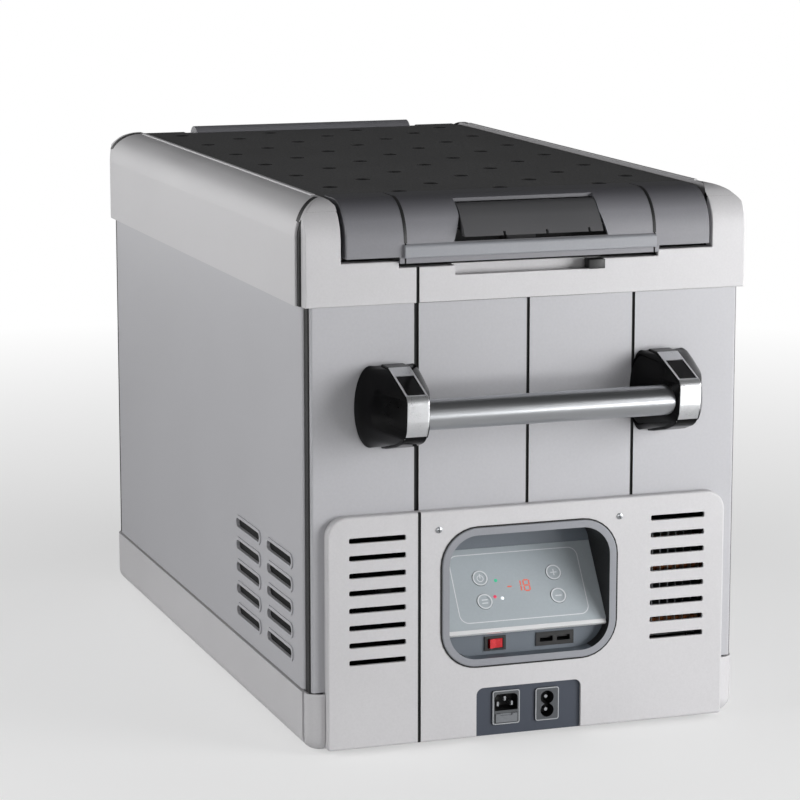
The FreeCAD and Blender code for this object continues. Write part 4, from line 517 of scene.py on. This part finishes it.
def outline_strip(bm, wide, tall, corner, line, thick, place):
    """Thin strip round a rounded rectangle, standing on its place."""
    sheet = bmesh.ops.create_grid(bm, x_segments=1, y_segments=1, size=0.5)["verts"]
    bmesh.ops.scale(bm, vec=(wide, tall, 1), verts=sheet)
    bmesh.ops.bevel(bm, geom=sheet, offset=corner, offset_type="OFFSET", segments=8,
                    profile=0.5, affect="VERTICES", material=-1)
    inner = bm.faces[:]
    bmesh.ops.inset_region(bm, faces=inner, thickness=line, use_boundary=True,
                           use_even_offset=True)
    bmesh.ops.delete(bm, geom=inner, context="FACES")
    raised = bmesh.ops.extrude_face_region(bm, geom=bm.faces[:])
    top = [v for v in raised["geom"] if isinstance(v, bmesh.types.BMVert)]
    bmesh.ops.translate(bm, vec=(0, 0, thick), verts=top)
    bmesh.ops.transform(bm, matrix=place, verts=bm.verts[:])
    bmesh.ops.recalc_face_normals(bm, faces=bm.faces[:])


def front_place(across, out, up):
    """Place on a face that looks to the front."""
    return Matrix.Translation((across, out, up)) @ Matrix.Rotation(math.radians(90), 4, "X")


def plate_place(across, up, out=0.0):
    """Place on the display plate in millimetres: sideways, up from the lower keys, outward."""
    low, high = (Vector(JOINTS[key]["pos_m"]) for key in ("mode_key_body", "power_key_body"))
    normal = -Vector(JOINTS["mode_key_body"]["axis"])
    along = (high - low).normalized()
    side = along.cross(normal)
    turn = Matrix((side, along, normal)).transposed().to_4x4()
    origin = Vector((0, low.y, low.z)) + side * across * MM + along * up * MM + normal * out * MM
    return Matrix.Translation(origin) @ turn


def key_spot(body):
    """Sideways place of a key and its distance up the display plate, in millimetres."""
    spot = plate_place(0, 0).inverted() @ Vector(JOINTS[body]["pos_m"])
    return spot.x / MM, spot.y / MM


def in_seam(across):
    """Says whether a sideways place lies in one of the front's upright seams."""
    return any(abs(across - middle * MM) < reach * MM for middle, reach in FRONT_SEAMS)


# ---- operators -------------------------------------------------------------------
class FRIDGE_OT_housing(Operator):
    """Finish the panels, mouldings and frames with painted shade in the seams, and build the arm
    caps, painted shadow lines, a painted shadow block and black sheets of painted shade behind the
    slots
    """
    bl_idname = "fridge.housing"
    bl_label = "Housing"

    def execute(self, context):
        colours = context.scene.fridge_colours
        light = moulded_abs("light_grey_abs", colours.moulding)
        coat = powder_coat("grey_powder_coat", colours.panel)
        dark = black_abs()
        finish_nodes(light, "base_tray", "left_top_rail", "right_top_rail", "rear_fascia")
        finish_nodes(coat, "left_side_panel", "right_side_panel", "rear_wall")
        finish_nodes(dark, "end_frames")
        finish_nodes(black_rubber(), "feet", "compressor_grommets", "lid_gasket")
        for node, finish, slot in (("front_fascia", light, "light_grey_plastic"),
                                   ("front_wall", coat, "mid_grey_panel"),
                                   ("lower_cover", light, "light_grey_plastic")):
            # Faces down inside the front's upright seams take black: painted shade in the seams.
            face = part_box(node)[0].y + 0.3 * MM
            recoloured(node + "_with_seams", node, "cabinet", [finish, dark],
                       lambda middle, normal: int(middle.y > face and in_seam(middle.x)))
        self.recess_end(dark)
        # The black set lies a little lower and reaches further out, so it shows as a painted shadow
        # line along the grey caps' mitred edge.
        self.arm_caps("arm_cap_joints", dark, 0.3, 10.0)
        self.arm_caps("arm_caps", light, 0.45, 0.0)
        self.dust_filters()
        return {"FINISHED"}

    def arm_caps(self, name, material, lift, spread):
        """Skins that carry the end mouldings' arms back over the ends of the side rails.

        lift is their height over the band and spread how far the mitred edge moves outward,
        both in millimetres. A cap is cut flat at height zero, and then laid on the band.
        """
        inner, outer, rear, end = 182.0, 217.0, 308.0, 352.6
        mitre = ((BAND_SIDE + spread, 355.0, 0), (1, -1, 0))
        taper = ((inner, 348.0, 0), (-3, -1, 0))
        clear, run_out, skin = 0.02, 6.0, 1.2
        bm = bmesh.new()
        for across in (-1, 1):
            for along in (-1, 1):
                cap = bmesh.ops.create_grid(bm, x_segments=28, y_segments=36, size=0.5)["verts"]
                bmesh.ops.scale(bm, vec=(outer - inner, end - rear, 1), verts=cap)
                bmesh.ops.translate(bm, vec=((inner + outer) / 2, (rear + end) / 2, 0), verts=cap)
                for point, away in (mitre, taper):
                    flat = [f for f in bm.faces if f.verts[0].co.z == 0]
                    geom = flat + list({e for f in flat for e in f.edges}
                                       | {v for f in flat for v in f.verts})
                    bmesh.ops.bisect_plane(bm, geom=geom, plane_co=point, plane_no=away,
                                           clear_outer=True)
                cap = [v for v in bm.verts if v.co.z == 0]
                for vert in cap:
                    ramp = min(1.0, (end - vert.co.y) / run_out)
                    vert.co.z = self.band_height(vert.co.x, vert.co.y) + clear + lift * ramp
                bmesh.ops.scale(bm, vec=(across, along, 1), verts=cap)
        raised = bmesh.ops.extrude_face_region(bm, geom=bm.faces[:])
        under = [v for v in raised["geom"] if isinstance(v, bmesh.types.BMVert)]
        bmesh.ops.translate(bm, vec=(0, 0, -skin), verts=under)
        bmesh.ops.scale(bm, vec=(MM, MM, MM), verts=bm.verts[:])
        bmesh.ops.recalc_face_normals(bm, faces=bm.faces[:])
        as_piece(name, bm, [material], "cabinet")

    def band_height(self, across, along):
        """Height of the upper band's rounded top, in millimetres."""
        heights = []
        for place, edge, radius in ((across, BAND_SIDE, BAND_SIDE_RADIUS),
                                    (along, BAND_END, BAND_END_RADIUS)):
            past = max(0.0, place - (edge - radius))
            heights.append(BAND_TOP - radius + math.sqrt(radius ** 2 - past ** 2))
        return min(heights)

    def recess_end(self, dark):
        """Black block at the right end of the finger recess under the hood: a painted shadow."""
        size = Vector((16.0, 12.2, 8.8)) * MM
        place = Vector((64.7, 7.0, 445.5)) * MM
        place.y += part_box("lower_cover")[0].y
        bm = bmesh.new()
        stop = bmesh.ops.create_cube(bm, size=1.0)["verts"]
        bmesh.ops.scale(bm, vec=size, verts=stop)
        bmesh.ops.translate(bm, vec=place, verts=stop)
        bmesh.ops.bevel(bm, geom=bm.edges[:], offset=0.6 * MM, offset_type="OFFSET", segments=2,
                        profile=0.5, affect="EDGES", material=-1)
        as_piece("recess_end", bm, [dark], "cabinet")

    def dust_filters(self):
        """Black foam sheets behind the air slots of both side panels: painted shade in the slots.
        """
        size, place = Vector((1.4, 196.0, 118.0)) * MM, Vector((210.9, -223.0, 129.0)) * MM
        bm = bmesh.new()
        for across in (-1, 1):
            sheet = bmesh.ops.create_cube(bm, size=1.0)["verts"]
            bmesh.ops.scale(bm, vec=size, verts=sheet)
            bmesh.ops.translate(bm, vec=(across * place.x, place.y, place.z), verts=sheet)
        bmesh.ops.bevel(bm, geom=bm.edges[:], offset=0.5 * MM, offset_type="OFFSET", segments=2,
                        profile=0.5, affect="EDGES", material=-1)
        as_piece("dust_filters", bm, [slot_shade_foam()], "cabinet")


class FRIDGE_OT_lid(Operator):
    """Finish the lid, its hinge and its latch, and build the strips in the hood's joints"""
    bl_idname = "fridge.lid"
    bl_label = "Lid and hinge"

    def execute(self, context):
        colours, sizes = context.scene.fridge_colours, context.scene.fridge_sizes
        low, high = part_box("lid_shell")
        field, margin, shallow, deep = 165 * MM, 30 * MM, 0.05 * MM, 1.5 * MM
        joint_half, lip_front, lip_top = 0.85 * MM, -368.6 * MM, 473 * MM

        # Faces down in the lid's dimples take the black rubber finish: painted shade in the
        # hollows.
        def dimple_shade_mask(middle, normal):
            inside = abs(middle.x) < field and low.y + margin < middle.y < high.y - margin
            return int(inside and shallow < high.z - middle.z < deep)

        recoloured("lid_with_dimples", "lid_shell", "lid",
                   [pebbled_lid(colours.lid, sizes.lid_grain), black_rubber()], dimple_shade_mask)
        finish_nodes(white_liner(colours.liner), "lid_liner", "inner_tub")
        finish_nodes(rigid_foam(), "lid_foam", "insulation")
        hood = moulded_abs("dark_grey_abs", colours.hood)
        finish_nodes(hood, "hinge_barrel", "hinge_housing")

        def hood_zone(middle, normal):
            if abs(abs(middle.x) - HOOD_JOINT * MM) < joint_half:
                return 1
            # The lip under the hood's front takes a lighter grey: a painted highlight.
            return 2 if middle.y < lip_front and middle.z < lip_top else 0

        # The hood and the paddle are drawn darker near their tops: painted shade where they turn to
        # face up.
        hood_top_shaded = abs_with_painted_top_shade("rolled_grey_abs", colours.hood, linear("55555a"))
        painted_lip_highlight = moulded_abs("mid_grey_abs", linear("8f9196"))
        recoloured("hood_with_joints", "latch_cover", "lid",
                   [hood_top_shaded, black_abs(), painted_lip_highlight], hood_zone)
        self.joint_strips()
        finish_nodes(abs_with_painted_top_shade("charcoal_abs", colours.paddle, linear("3c3c3e")), "latch_paddle")
        finish_nodes(zinc_plate(), "paddle_pin", "hinge_pin", "handle_screws", "inlet_pins",
                     "compressor_mount")
        return {"FINISHED"}

    def joint_strips(self):
        """Dark strips in the two joints across the hood, following its rounded front."""
        radius, low, half, thick = 39.15 * MM, 472.5 * MM, 1.5, 0.1 * MM
        centre = Vector((0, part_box("lid_shell")[0].y + 6 * MM, low))
        bm = bmesh.new()
        for joint in (-HOOD_JOINT, HOOD_JOINT):
            edge = [bm.verts.new((across * MM, centre.y - radius, low))
                    for across in (joint - half, joint + half)]
            line = bm.edges.new(edge)
            bmesh.ops.spin(bm, geom=edge + [line], cent=centre, axis=(1, 0, 0),
                           angle=math.radians(-90), steps=24)
        raised = bmesh.ops.extrude_face_region(bm, geom=bm.faces[:])
        under = [v for v in raised["geom"] if isinstance(v, bmesh.types.BMVert)]
        for vert in under:
            vert.co += (centre - vert.co).normalized() * thick
        bmesh.ops.recalc_face_normals(bm, faces=bm.faces[:])
        as_piece("hood_joint_strips", bm, [black_abs()], "lid")


class FRIDGE_OT_handles(Operator):
    """Finish the grip tubes and the two-tone handle pods, and build the pods' cheeks"""
    bl_idname = "fridge.handles"
    bl_label = "Handles"

    def execute(self, context):
        finish_nodes(anodised_tube(), "handle_tubes")
        gloss = polished_black()
        finish_nodes(gloss, "pod_caps")

        def silver_outline(middle, normal):
            outward = math.copysign(1, middle.y) * normal.y
            return int(abs(normal.x) < 0.5 and outward > 0.2 and normal.z > -0.6)

        recoloured("handle_pods_two_tone", "handle_pods", "cabinet",
                   [gloss, silver_paint()], silver_outline)
        self.pod_cheeks(gloss)
        return {"FINISHED"}

    def pod_cheeks(self, gloss):
        """Domed cheeks on both sides of every pod, widest where they meet the end wall."""
        outline = ((0.5, 286.0), (12.0, 288.0), (38.0, 294.5), (66.0, 305.5), (70.0, 312.0),
                   (70.0, 340.0), (18.0, 360.2), (0.5, 360.5))
        parts, wall, sunk = len(outline) - 1, END_WALL + 0.2, 0.5
        foot_low, foot_high, end_share, dome = 285.5, 361.4, 0.4, 1.7
        inner_flare, outer_flare = 19.0, 26.0

        def cheek_point(around, out, flare):
            """Point of a cheek: around runs up the pod's outline, out from the wall to its edge."""
            part = min(int(around * parts), parts - 1)
            edge = Vector(outline[part]).lerp(Vector(outline[part + 1]), around * parts - part)
            foot = foot_low + (foot_high - foot_low) * (1 - math.cos(math.pi * around)) / 2
            wide = flare * (end_share + (1 - end_share) * math.sin(math.pi * around))
            return (wide * (1 - out ** dome) - sunk * out, wall + edge.x * out,
                    foot + (edge.y - foot) * out)

        bm = bmesh.new()
        for side, facing, flare in ((POD_OUTER - POD_WIDTH, -1, inner_flare),
                                    (POD_OUTER, 1, outer_flare)):
            for across in (-1, 1):
                for along in (-1, 1):
                    sheet = bmesh.ops.create_grid(bm, x_segments=4 * parts, y_segments=8,
                                                  size=0.5)["verts"]
                    for vert in sheet:
                        x, y, z = cheek_point(vert.co.x + 0.5, vert.co.y + 0.5, flare)
                        vert.co = (across * (side + facing * x), along * y, z)
        bmesh.ops.holes_fill(bm, edges=[e for e in bm.edges if e.is_boundary], sides=0)
        bmesh.ops.scale(bm, vec=(MM, MM, MM), verts=bm.verts[:])
        bmesh.ops.recalc_face_normals(bm, faces=bm.faces[:])
        as_piece("pod_cheeks", bm, [gloss], "cabinet")


class FRIDGE_OT_control_panel(Operator):
    """Finish the bezel, display and keys, and build the printed marks and lamps"""
    bl_idname = "fridge.control_panel"
    bl_label = "Control panel"

    def execute(self, context):
        colours, sizes = context.scene.fridge_colours, context.scene.fridge_sizes
        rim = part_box("control_bezel")[0].y + 4 * MM

        def recess_zone_with_wall_shade(middle, normal):
            if middle.y < rim:
                return 0
            # Sideways-facing walls of the recess take black: painted shade.
            return 2 if abs(normal.x) > 0.35 else 1

        recoloured("bezel_with_recess", "control_bezel", "cabinet",
                   [moulded_abs("grey_bezel_abs", colours.bezel),
                    moulded_abs("slate_recess_abs", colours.recess), black_abs()], recess_zone_with_wall_shade)
        acrylic = display_acrylic(colours.display)
        finish_nodes(acrylic, "mode_key", "power_key", "colder_key", "warmer_key")
        self.tall_plate(acrylic)
        self.bezel_seal()
        finish_nodes(trim_with_painted_highlight(), "display_trim")
        finish_nodes(solder_mask(), "display_board")
        finish_nodes(black_abs(), "switch_housing", "usb_block")
        finish_nodes(red_rocker_plastic(), "main_rocker")
        ink = white_print()
        self.border(ink, sizes.print_width)
        self.key_marks(ink, sizes.print_width)
        self.digits(sizes)
        self.lamps()
        return {"FINISHED"}

    def tall_plate(self, acrylic):
        """Display plate with its top edge carried up to the recess's rear wall."""
        kept, wall = 46 * MM, 3.4 * MM
        place = plate_place(0, 0)
        back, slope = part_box("control_bezel")[1].y - wall, place.to_3x3() @ Vector((0, 1, 0))
        made = recoloured("tall_display_plate", "display_plate", "cabinet",
                          [acrylic], lambda middle, normal: 0)
        for vert in made.data.vertices:
            if (place.inverted() @ vert.co).y > kept:
                vert.co += slope * (back - vert.co.y) / slope.y

    def bezel_seal(self):
        """Black strip round the bezel that shows as a thin dark line: a painted shadow in the gap
        round the bezel.
        """
        gap_margin, corner, line, thick = 1.5 * MM, 36.5 * MM, 1.6 * MM, 0.5 * MM
        low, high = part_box("control_bezel")
        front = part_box("lower_cover")[0].y
        bm = bmesh.new()
        outline_strip(bm, high.x - low.x + 2 * gap_margin, high.z - low.z + 2 * gap_margin, corner, line, thick,
                      front_place(0, front, (low.z + high.z) / 2))
        as_piece("bezel_seal", bm, [black_rubber()], "cabinet")

    def border(self, ink, width):
        """Printed rounded rectangle round the display's working area."""
        half, low, high, corner, thick = 65.0, -20.5, 48.0, 9.0 * MM, 0.1 * MM
        bm = bmesh.new()
        outline_strip(bm, 2 * half * MM, (high - low) * MM, corner, width, thick,
                      plate_place(0, (low + high) / 2))
        as_piece("display_border", bm, [ink], "cabinet")

    def key_marks(self, ink, width):
        """Ring and sign on each of the four keys.

        A sign is a few bars, each given as its distance up the key, width and height in
        millimetres.
        """
        thin, proud, dished = 0.08 * MM, 0.6, 0.3
        rim_radius, rim_line, bar, line = 6.2 * MM, 1.4 * width, 6.4, 1.1
        on_radius, on_line, on_drop = 2.6 * MM, 0.8 * MM, 0.4
        signs = {
            "mode_key": [(1.6, 6.0, 1.0), (-1.6, 6.0, 1.0)],
            "power_key": [(1.9, 1.0, 4.6)],
            "colder_key": [(0, bar, line)],
            "warmer_key": [(0, bar, line), (0, line, bar)],
        }
        for key, bars in signs.items():
            across, up = key_spot(key + "_body")
            bm = bmesh.new()
            ring(bm, rim_radius, rim_line, thin, plate_place(across, up, proud))
            if key == "power_key":
                ring(bm, on_radius, on_line, thin, plate_place(across, up - on_drop, dished))
            for lift, wide, tall in bars:
                stroke(bm, (wide * MM, tall * MM, thin * 1.3),
                       plate_place(across, up + lift, dished))
            as_piece(key + "_mark", bm, [ink], key + "_body")

    def digits(self, sizes):
        """Temperature reading: a minus sign and two seven-segment digits.

        A segment is given as its place, in parts of a digit's width and height, and as 1
        where it lies level.
        """
        tall, wide, pitch, line, thick = sizes.digit_height / MM, 5.6, 8.6, 1.3, 0.06 * MM
        sideways, up = -1.0, 13.0
        segments = {"a": (0, 0.5, 1), "g": (0, 0, 1), "d": (0, -0.5, 1), "f": (-0.5, 0.25, 0),
                    "b": (0.5, 0.25, 0), "e": (-0.5, -0.25, 0), "c": (0.5, -0.25, 0)}
        bm = bmesh.new()
        for index, lit_segments in enumerate(("g", "bc", "abcdefg")):
            for name in lit_segments:
                x, y, level = segments[name]
                size = (wide - line, line) if level else (line, tall / 2 - line)
                across = sideways + (index - 1) * pitch + x * wide
                stroke(bm, (size[0] * MM, size[1] * MM, thick),
                       plate_place(across, up + y * (tall - line)))
        as_piece("temperature_digits", bm, [lit("red_led_segment", "d8654f", 0.35)], "cabinet")

    def lamps(self):
        """Three small indicator lamps beside the keys."""
        radius, flatness, glow = 1.7 * MM, 0.12, 0.5
        for name, code, across, up in (("run_lamp", "3fae86", -22.0, 20.0),
                                       ("fault_lamp", "d0405a", -26.0, 4.0),
                                       ("eco_lamp", "e6eaee", -19.0, 2.0)):
            bm = bmesh.new()
            dome = bmesh.ops.create_uvsphere(bm, u_segments=16, v_segments=8, radius=radius)
            bmesh.ops.scale(bm, vec=(1, 1, flatness), verts=dome["verts"])
            bmesh.ops.transform(bm, matrix=plate_place(across, up), verts=dome["verts"])
            as_piece(name, bm, [lit(name + "_diode", code, glow)], "cabinet")


class FRIDGE_OT_power_sockets(Operator):
    """Finish the power inlets, the fuse drawer and their plate"""
    bl_idname = "fridge.power_sockets"
    bl_label = "Power sockets"

    def execute(self, context):
        colours = context.scene.fridge_colours
        finish_nodes(moulded_abs("navy_abs", colours.sockets), "power_panel")
        finish_nodes(socket_plastic(), "fuse_drawer")
        finish_nodes(clear_glass(), "fuse_link")
        inlets = {"ac_inlet": "4b4e51", "dc_inlet": "45484c"}
        for node, code in inlets.items():
            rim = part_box(node)[0].y + 0.3 * MM
            flange = moulded_abs(node + "_flange_abs", linear(code))
            recoloured(node + "_two_tone", node, "cabinet", [black_abs(), flange],
                       lambda middle, normal: int(middle.y < rim))
        paint = pad_print()
        for node in inlets:
            self.outline(node, paint)
        return {"FINISHED"}

    def outline(self, node, paint):
        """Printed line round an inlet's flange, a little inside its edge."""
        edge, corner, line, thick = 0.4 * MM, 2.4 * MM, 0.9 * MM, 0.1 * MM
        low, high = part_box(node)
        bm = bmesh.new()
        outline_strip(bm, high.x - low.x - edge, high.z - low.z - edge, corner, line, thick,
                      front_place((low.x + high.x) / 2, low.y, (low.z + high.z) / 2))
        as_piece(node + "_outline", bm, [paint], "cabinet")


class FRIDGE_OT_cooling_unit(Operator):
    """Finish the compressor, condenser, pipes and fan"""
    bl_idname = "fridge.cooling_unit"
    bl_label = "Cooling unit"

    def execute(self, context):
        finish_nodes(black_enamel(), "compressor")
        finish_nodes(mill_aluminium(), "condenser_fins", "evaporator_plate", "controller_box")
        finish_nodes(copper_pipe(), "refrigerant_pipes", "filter_drier")
        finish_nodes(spangled_sheet(), "bay_bulkhead")
        finish_nodes(black_abs(), "fan_frame", "fan_rotor", "tub_collar")
        return {"FINISHED"}


class FRIDGE_OT_tub_fittings(Operator):
    """Build the wire baskets and finish the lamp in the tub"""
    bl_idname = "fridge.tub_fittings"
    bl_label = "Tub fittings"

    def execute(self, context):
        sizes = context.scene.fridge_sizes
        finish_nodes(frosted_lens(), "interior_light")
        wire = coated_wire()
        for node in ("front_basket", "rear_basket"):
            basket = self.basket(node, sizes, wire)
            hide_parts(node)
        return {"FINISHED"}

    def basket(self, node, sizes, wire):
        """Open box with rounded upright corners, cut into a mesh and made of wire."""
        low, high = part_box(node)
        thick, rim, corner = sizes.basket_wire, 4.0 * MM, 12.0 * MM
        low, high = low + Vector((rim, rim, thick / 2)), high - Vector((rim, rim, thick / 2))
        bm = bmesh.new()
        box = bmesh.ops.create_cube(bm, size=1.0)["verts"]
        bmesh.ops.scale(bm, vec=high - low, verts=box)
        bmesh.ops.translate(bm, vec=(low + high) / 2, verts=box)
        upright = [e for e in bm.edges if abs(e.verts[0].co.z - e.verts[1].co.z) > thick]
        bmesh.ops.bevel(bm, geom=upright, offset=corner, offset_type="OFFSET", segments=3,
                        profile=0.5, affect="EDGES", material=-1)
        mouth = [f for f in bm.faces if f.normal.z > 0.9]
        bmesh.ops.delete(bm, geom=mouth, context="FACES_ONLY")
        for axis in range(3):
            normal = Vector([1.0 if i == axis else 0.0 for i in range(3)])
            span = high[axis] - low[axis]
            count = round(span / sizes.basket_mesh)
            for i in range(1, count):
                cut = low + normal * span * i / count
                bmesh.ops.bisect_plane(bm, geom=bm.verts[:] + bm.edges[:] + bm.faces[:],
                                       plane_co=cut, plane_no=normal)
        made = as_piece(node + "_wires", bm, [wire], "cabinet")
        wires = made.modifiers.new("wires", "WIREFRAME")
        wires.thickness = thick
        wires.use_even_offset = False
        wires.use_boundary = True
        return made


class FRIDGE_OT_small_fasteners(Operator):
    """Build the two screws of the lower cover"""
    bl_idname = "fridge.small_fasteners"
    bl_label = "Small fasteners"

    def execute(self, context):
        sizes = context.scene.fridge_sizes
        front, side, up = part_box("lower_cover")[0].y, 90.0 * MM, 206.0 * MM
        finishes = [zinc_plate(), black_abs()]
        self.screw("left_cover_screw", front_place(-side, front, up), sizes, finishes)
        self.screw("right_cover_screw", front_place(side, front, up), sizes, finishes)
        return {"FINISHED"}

    def screw(self, name, place, sizes, finishes):
        """Pan-head screw, its head standing on its place; its cross recess is two thin black
        strokes on the head, painted shade in place of a hollow.
        """
        radius, height = sizes.screw_head / 2, 1.4 * MM
        slot_length, slot_width, slot_height = radius * 1.2, 0.8 * MM, 0.1 * MM
        bm = bmesh.new()
        profile = [(0.0, height), (radius * 0.55, height * 0.95), (radius * 0.9, height * 0.55),
                   (radius, 0.0), (0.0, 0.0)]
        verts = [bm.verts.new((x, 0, z)) for x, z in profile]
        edges = [bm.edges.new((verts[i], verts[i + 1])) for i in range(len(verts) - 1)]
        bmesh.ops.spin(bm, geom=verts + edges, cent=(0, 0, 0), axis=(0, 0, 1), angle=math.tau,
                       steps=24, use_merge=True)
        bmesh.ops.remove_doubles(bm, verts=bm.verts, dist=0.001 * MM)
        bmesh.ops.recalc_face_normals(bm, faces=bm.faces[:])
        head = set(bm.faces)
        top = Matrix.Translation((0, 0, height * 0.96))
        # Painted shade: the cross recess is two thin black strokes on the head.
        stroke(bm, (slot_length, slot_width, slot_height), top)
        stroke(bm, (slot_width, slot_length, slot_height), top)
        for face in bm.faces:
            face.material_index = 0 if face in head else 1
        bmesh.ops.transform(bm, matrix=place, verts=bm.verts[:])
        as_piece(name, bm, finishes, "cabinet")


class FRIDGE_OT_stage(Operator):
    """Build the floor, the lamps and the camera"""
    bl_idname = "fridge.stage"
    bl_label = "Stage"

    def execute(self, context):
        settings = context.scene.fridge_stage
        middle = (CAD_BOX[0] + CAD_BOX[1]) / 2
        self.camera(context, settings, middle)
        self.floor(settings)
        self.world(context, settings)
        for name, power, azimuth, elevation, distance, size in SOFTBOXES:
            self.softbox(name, getattr(settings, power), azimuth, elevation, distance, size, middle)
        context.scene.view_settings.view_transform = "Standard"
        return {"FINISHED"}

    def camera(self, context, settings, middle):
        """Camera at the eye, aimed at the middle of the fridge."""
        data = bpy.data.cameras.new("camera")
        data.lens, data.sensor_width = settings.lens, 36.0
        data.clip_end = 200.0
        made = bpy.data.objects.new("camera", data)
        made.location = settings.eye
        made.rotation_euler = (middle - Vector(settings.eye)).to_track_quat("-Z", "Y").to_euler()
        context.scene.collection.objects.link(made)
        context.scene.camera = made

    def floor(self, settings):
        """Pale floor that fades to plain white away from the fridge."""
        fade_start, fade_end, least_white = 0.55, 2.2, 0.5
        paper_shades = (0.86, 0.86, 0.86, 1.0), (0.89, 0.89, 0.89, 1.0)
        bm = bmesh.new()
        bmesh.ops.create_grid(bm, x_segments=8, y_segments=8, size=settings.floor_size / 2)
        mesh = bpy.data.meshes.new("floor")
        bm.to_mesh(mesh)
        bm.free()
        material, tree, shader, place = blank("pale_floor")
        paper = add(tree, "TexNoise", {"Vector": place, "Scale": 1 / (400 * MM), "Detail": 2.0})
        tone = add(tree, "Mix", {0: paper.outputs["Fac"], 6: paper_shades[0],
                                 7: paper_shades[1]}, data_type="RGBA")
        tree.links.new(tone.outputs[2], shader.inputs["Base Color"])
        shader.inputs["Roughness"].default_value = 0.9
        shader.inputs["Specular IOR Level"].default_value = 0.0
        far = add(tree, "VectorMath", {0: place}, operation="LENGTH")
        fade = add(tree, "MapRange", {"Value": far.outputs["Value"], "From Min": fade_start,
                                      "From Max": fade_end, "To Min": least_white,
                                      "To Max": 1.0})
        rays = add(tree, "LightPath")
        share = add(tree, "Math", {0: fade.outputs["Result"], 1: rays.outputs["Is Camera Ray"]},
                    operation="MULTIPLY")
        white = add(tree, "Emission", {"Color": (1, 1, 1, 1), "Strength": 1.0})
        mixed = add(tree, "MixShader", {0: share.outputs[0], 1: shader.outputs["BSDF"],
                                        2: white.outputs["Emission"]})
        output = next(n for n in tree.nodes if n.type == "OUTPUT_MATERIAL")
        tree.links.new(mixed.outputs["Shader"], output.inputs["Surface"])
        mesh.materials.append(material)
        made = bpy.data.objects.new("floor", mesh)
        bpy.context.scene.collection.objects.link(made)

    def world(self, context, settings):
        """Even light from all round, seen as plain white by the camera and through clear pieces."""
        world = bpy.data.worlds.new("studio")
        context.scene.world = world
        world.use_nodes = True
        tree = world.node_tree
        tree.nodes.clear()
        rays = add(tree, "LightPath")
        seen = add(tree, "Math", {0: rays.outputs["Is Camera Ray"],
                                  1: rays.outputs["Is Transmission Ray"]}, operation="MAXIMUM")
        level = add(tree, "MapRange", {"Value": seen.outputs[0], "To Min": settings.ambient,
                                       "To Max": 1.0})
        backdrop = add(tree, "Background", {"Color": (1, 1, 1, 1),
                                            "Strength": level.outputs["Result"]})
        add(tree, "OutputWorld", {"Surface": backdrop.outputs["Background"]})

    def softbox(self, name, power, azimuth, elevation, distance, size, middle):
        """Square lamp that faces the fridge: azimuth from the front towards the right."""
        turn, rise = math.radians(azimuth), math.radians(elevation)
        out = Vector((math.sin(turn) * math.cos(rise), -math.cos(turn) * math.cos(rise),
                      math.sin(rise)))
        data = bpy.data.lights.new(name, "AREA")
        data.energy, data.size = power, size
        made = bpy.data.objects.new(name, data)
        made.location = middle + out * distance
        made.rotation_euler = (-out).to_track_quat("-Z", "Y").to_euler()
        bpy.context.scene.collection.objects.link(made)


class FRIDGE_PT_sidebar(Panel):
    """Buttons for each group of pieces, with their settings"""
    bl_idname = "FRIDGE_PT_sidebar"
    bl_label = "Compressor fridge"
    bl_space_type = "VIEW_3D"
    bl_region_type = "UI"
    bl_category = "Fridge"

    def draw(self, context):
        for operator in OPERATORS:
            self.layout.operator(operator.bl_idname)
        for group in (context.scene.fridge_colours, context.scene.fridge_sizes,
                      context.scene.fridge_stage):
            box = self.layout.box()
            for name in group.__annotations__:
                box.prop(group, name)


OPERATORS = (FRIDGE_OT_housing, FRIDGE_OT_lid, FRIDGE_OT_handles, FRIDGE_OT_control_panel,
             FRIDGE_OT_power_sockets, FRIDGE_OT_cooling_unit, FRIDGE_OT_tub_fittings,
             FRIDGE_OT_small_fasteners, FRIDGE_OT_stage)
CLASSES = (FridgeColours, FridgeSizes, FridgeStage) + OPERATORS + (FRIDGE_PT_sidebar,)


def register():
    for cls in CLASSES:
        bpy.utils.register_class(cls)
    bpy.types.Scene.fridge_colours = PointerProperty(type=FridgeColours)
    bpy.types.Scene.fridge_sizes = PointerProperty(type=FridgeSizes)
    bpy.types.Scene.fridge_stage = PointerProperty(type=FridgeStage)


def unregister():
    del bpy.types.Scene.fridge_stage
    del bpy.types.Scene.fridge_sizes
    del bpy.types.Scene.fridge_colours
    for cls in reversed(CLASSES):
        bpy.utils.unregister_class(cls)


def main():
    """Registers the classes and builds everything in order."""
    register()
    for operator in OPERATORS:
        group, name = operator.bl_idname.split(".")
        getattr(getattr(bpy.ops, group), name)()
    bpy.context.view_layer.update()


if __name__ == "__main__":
    main()
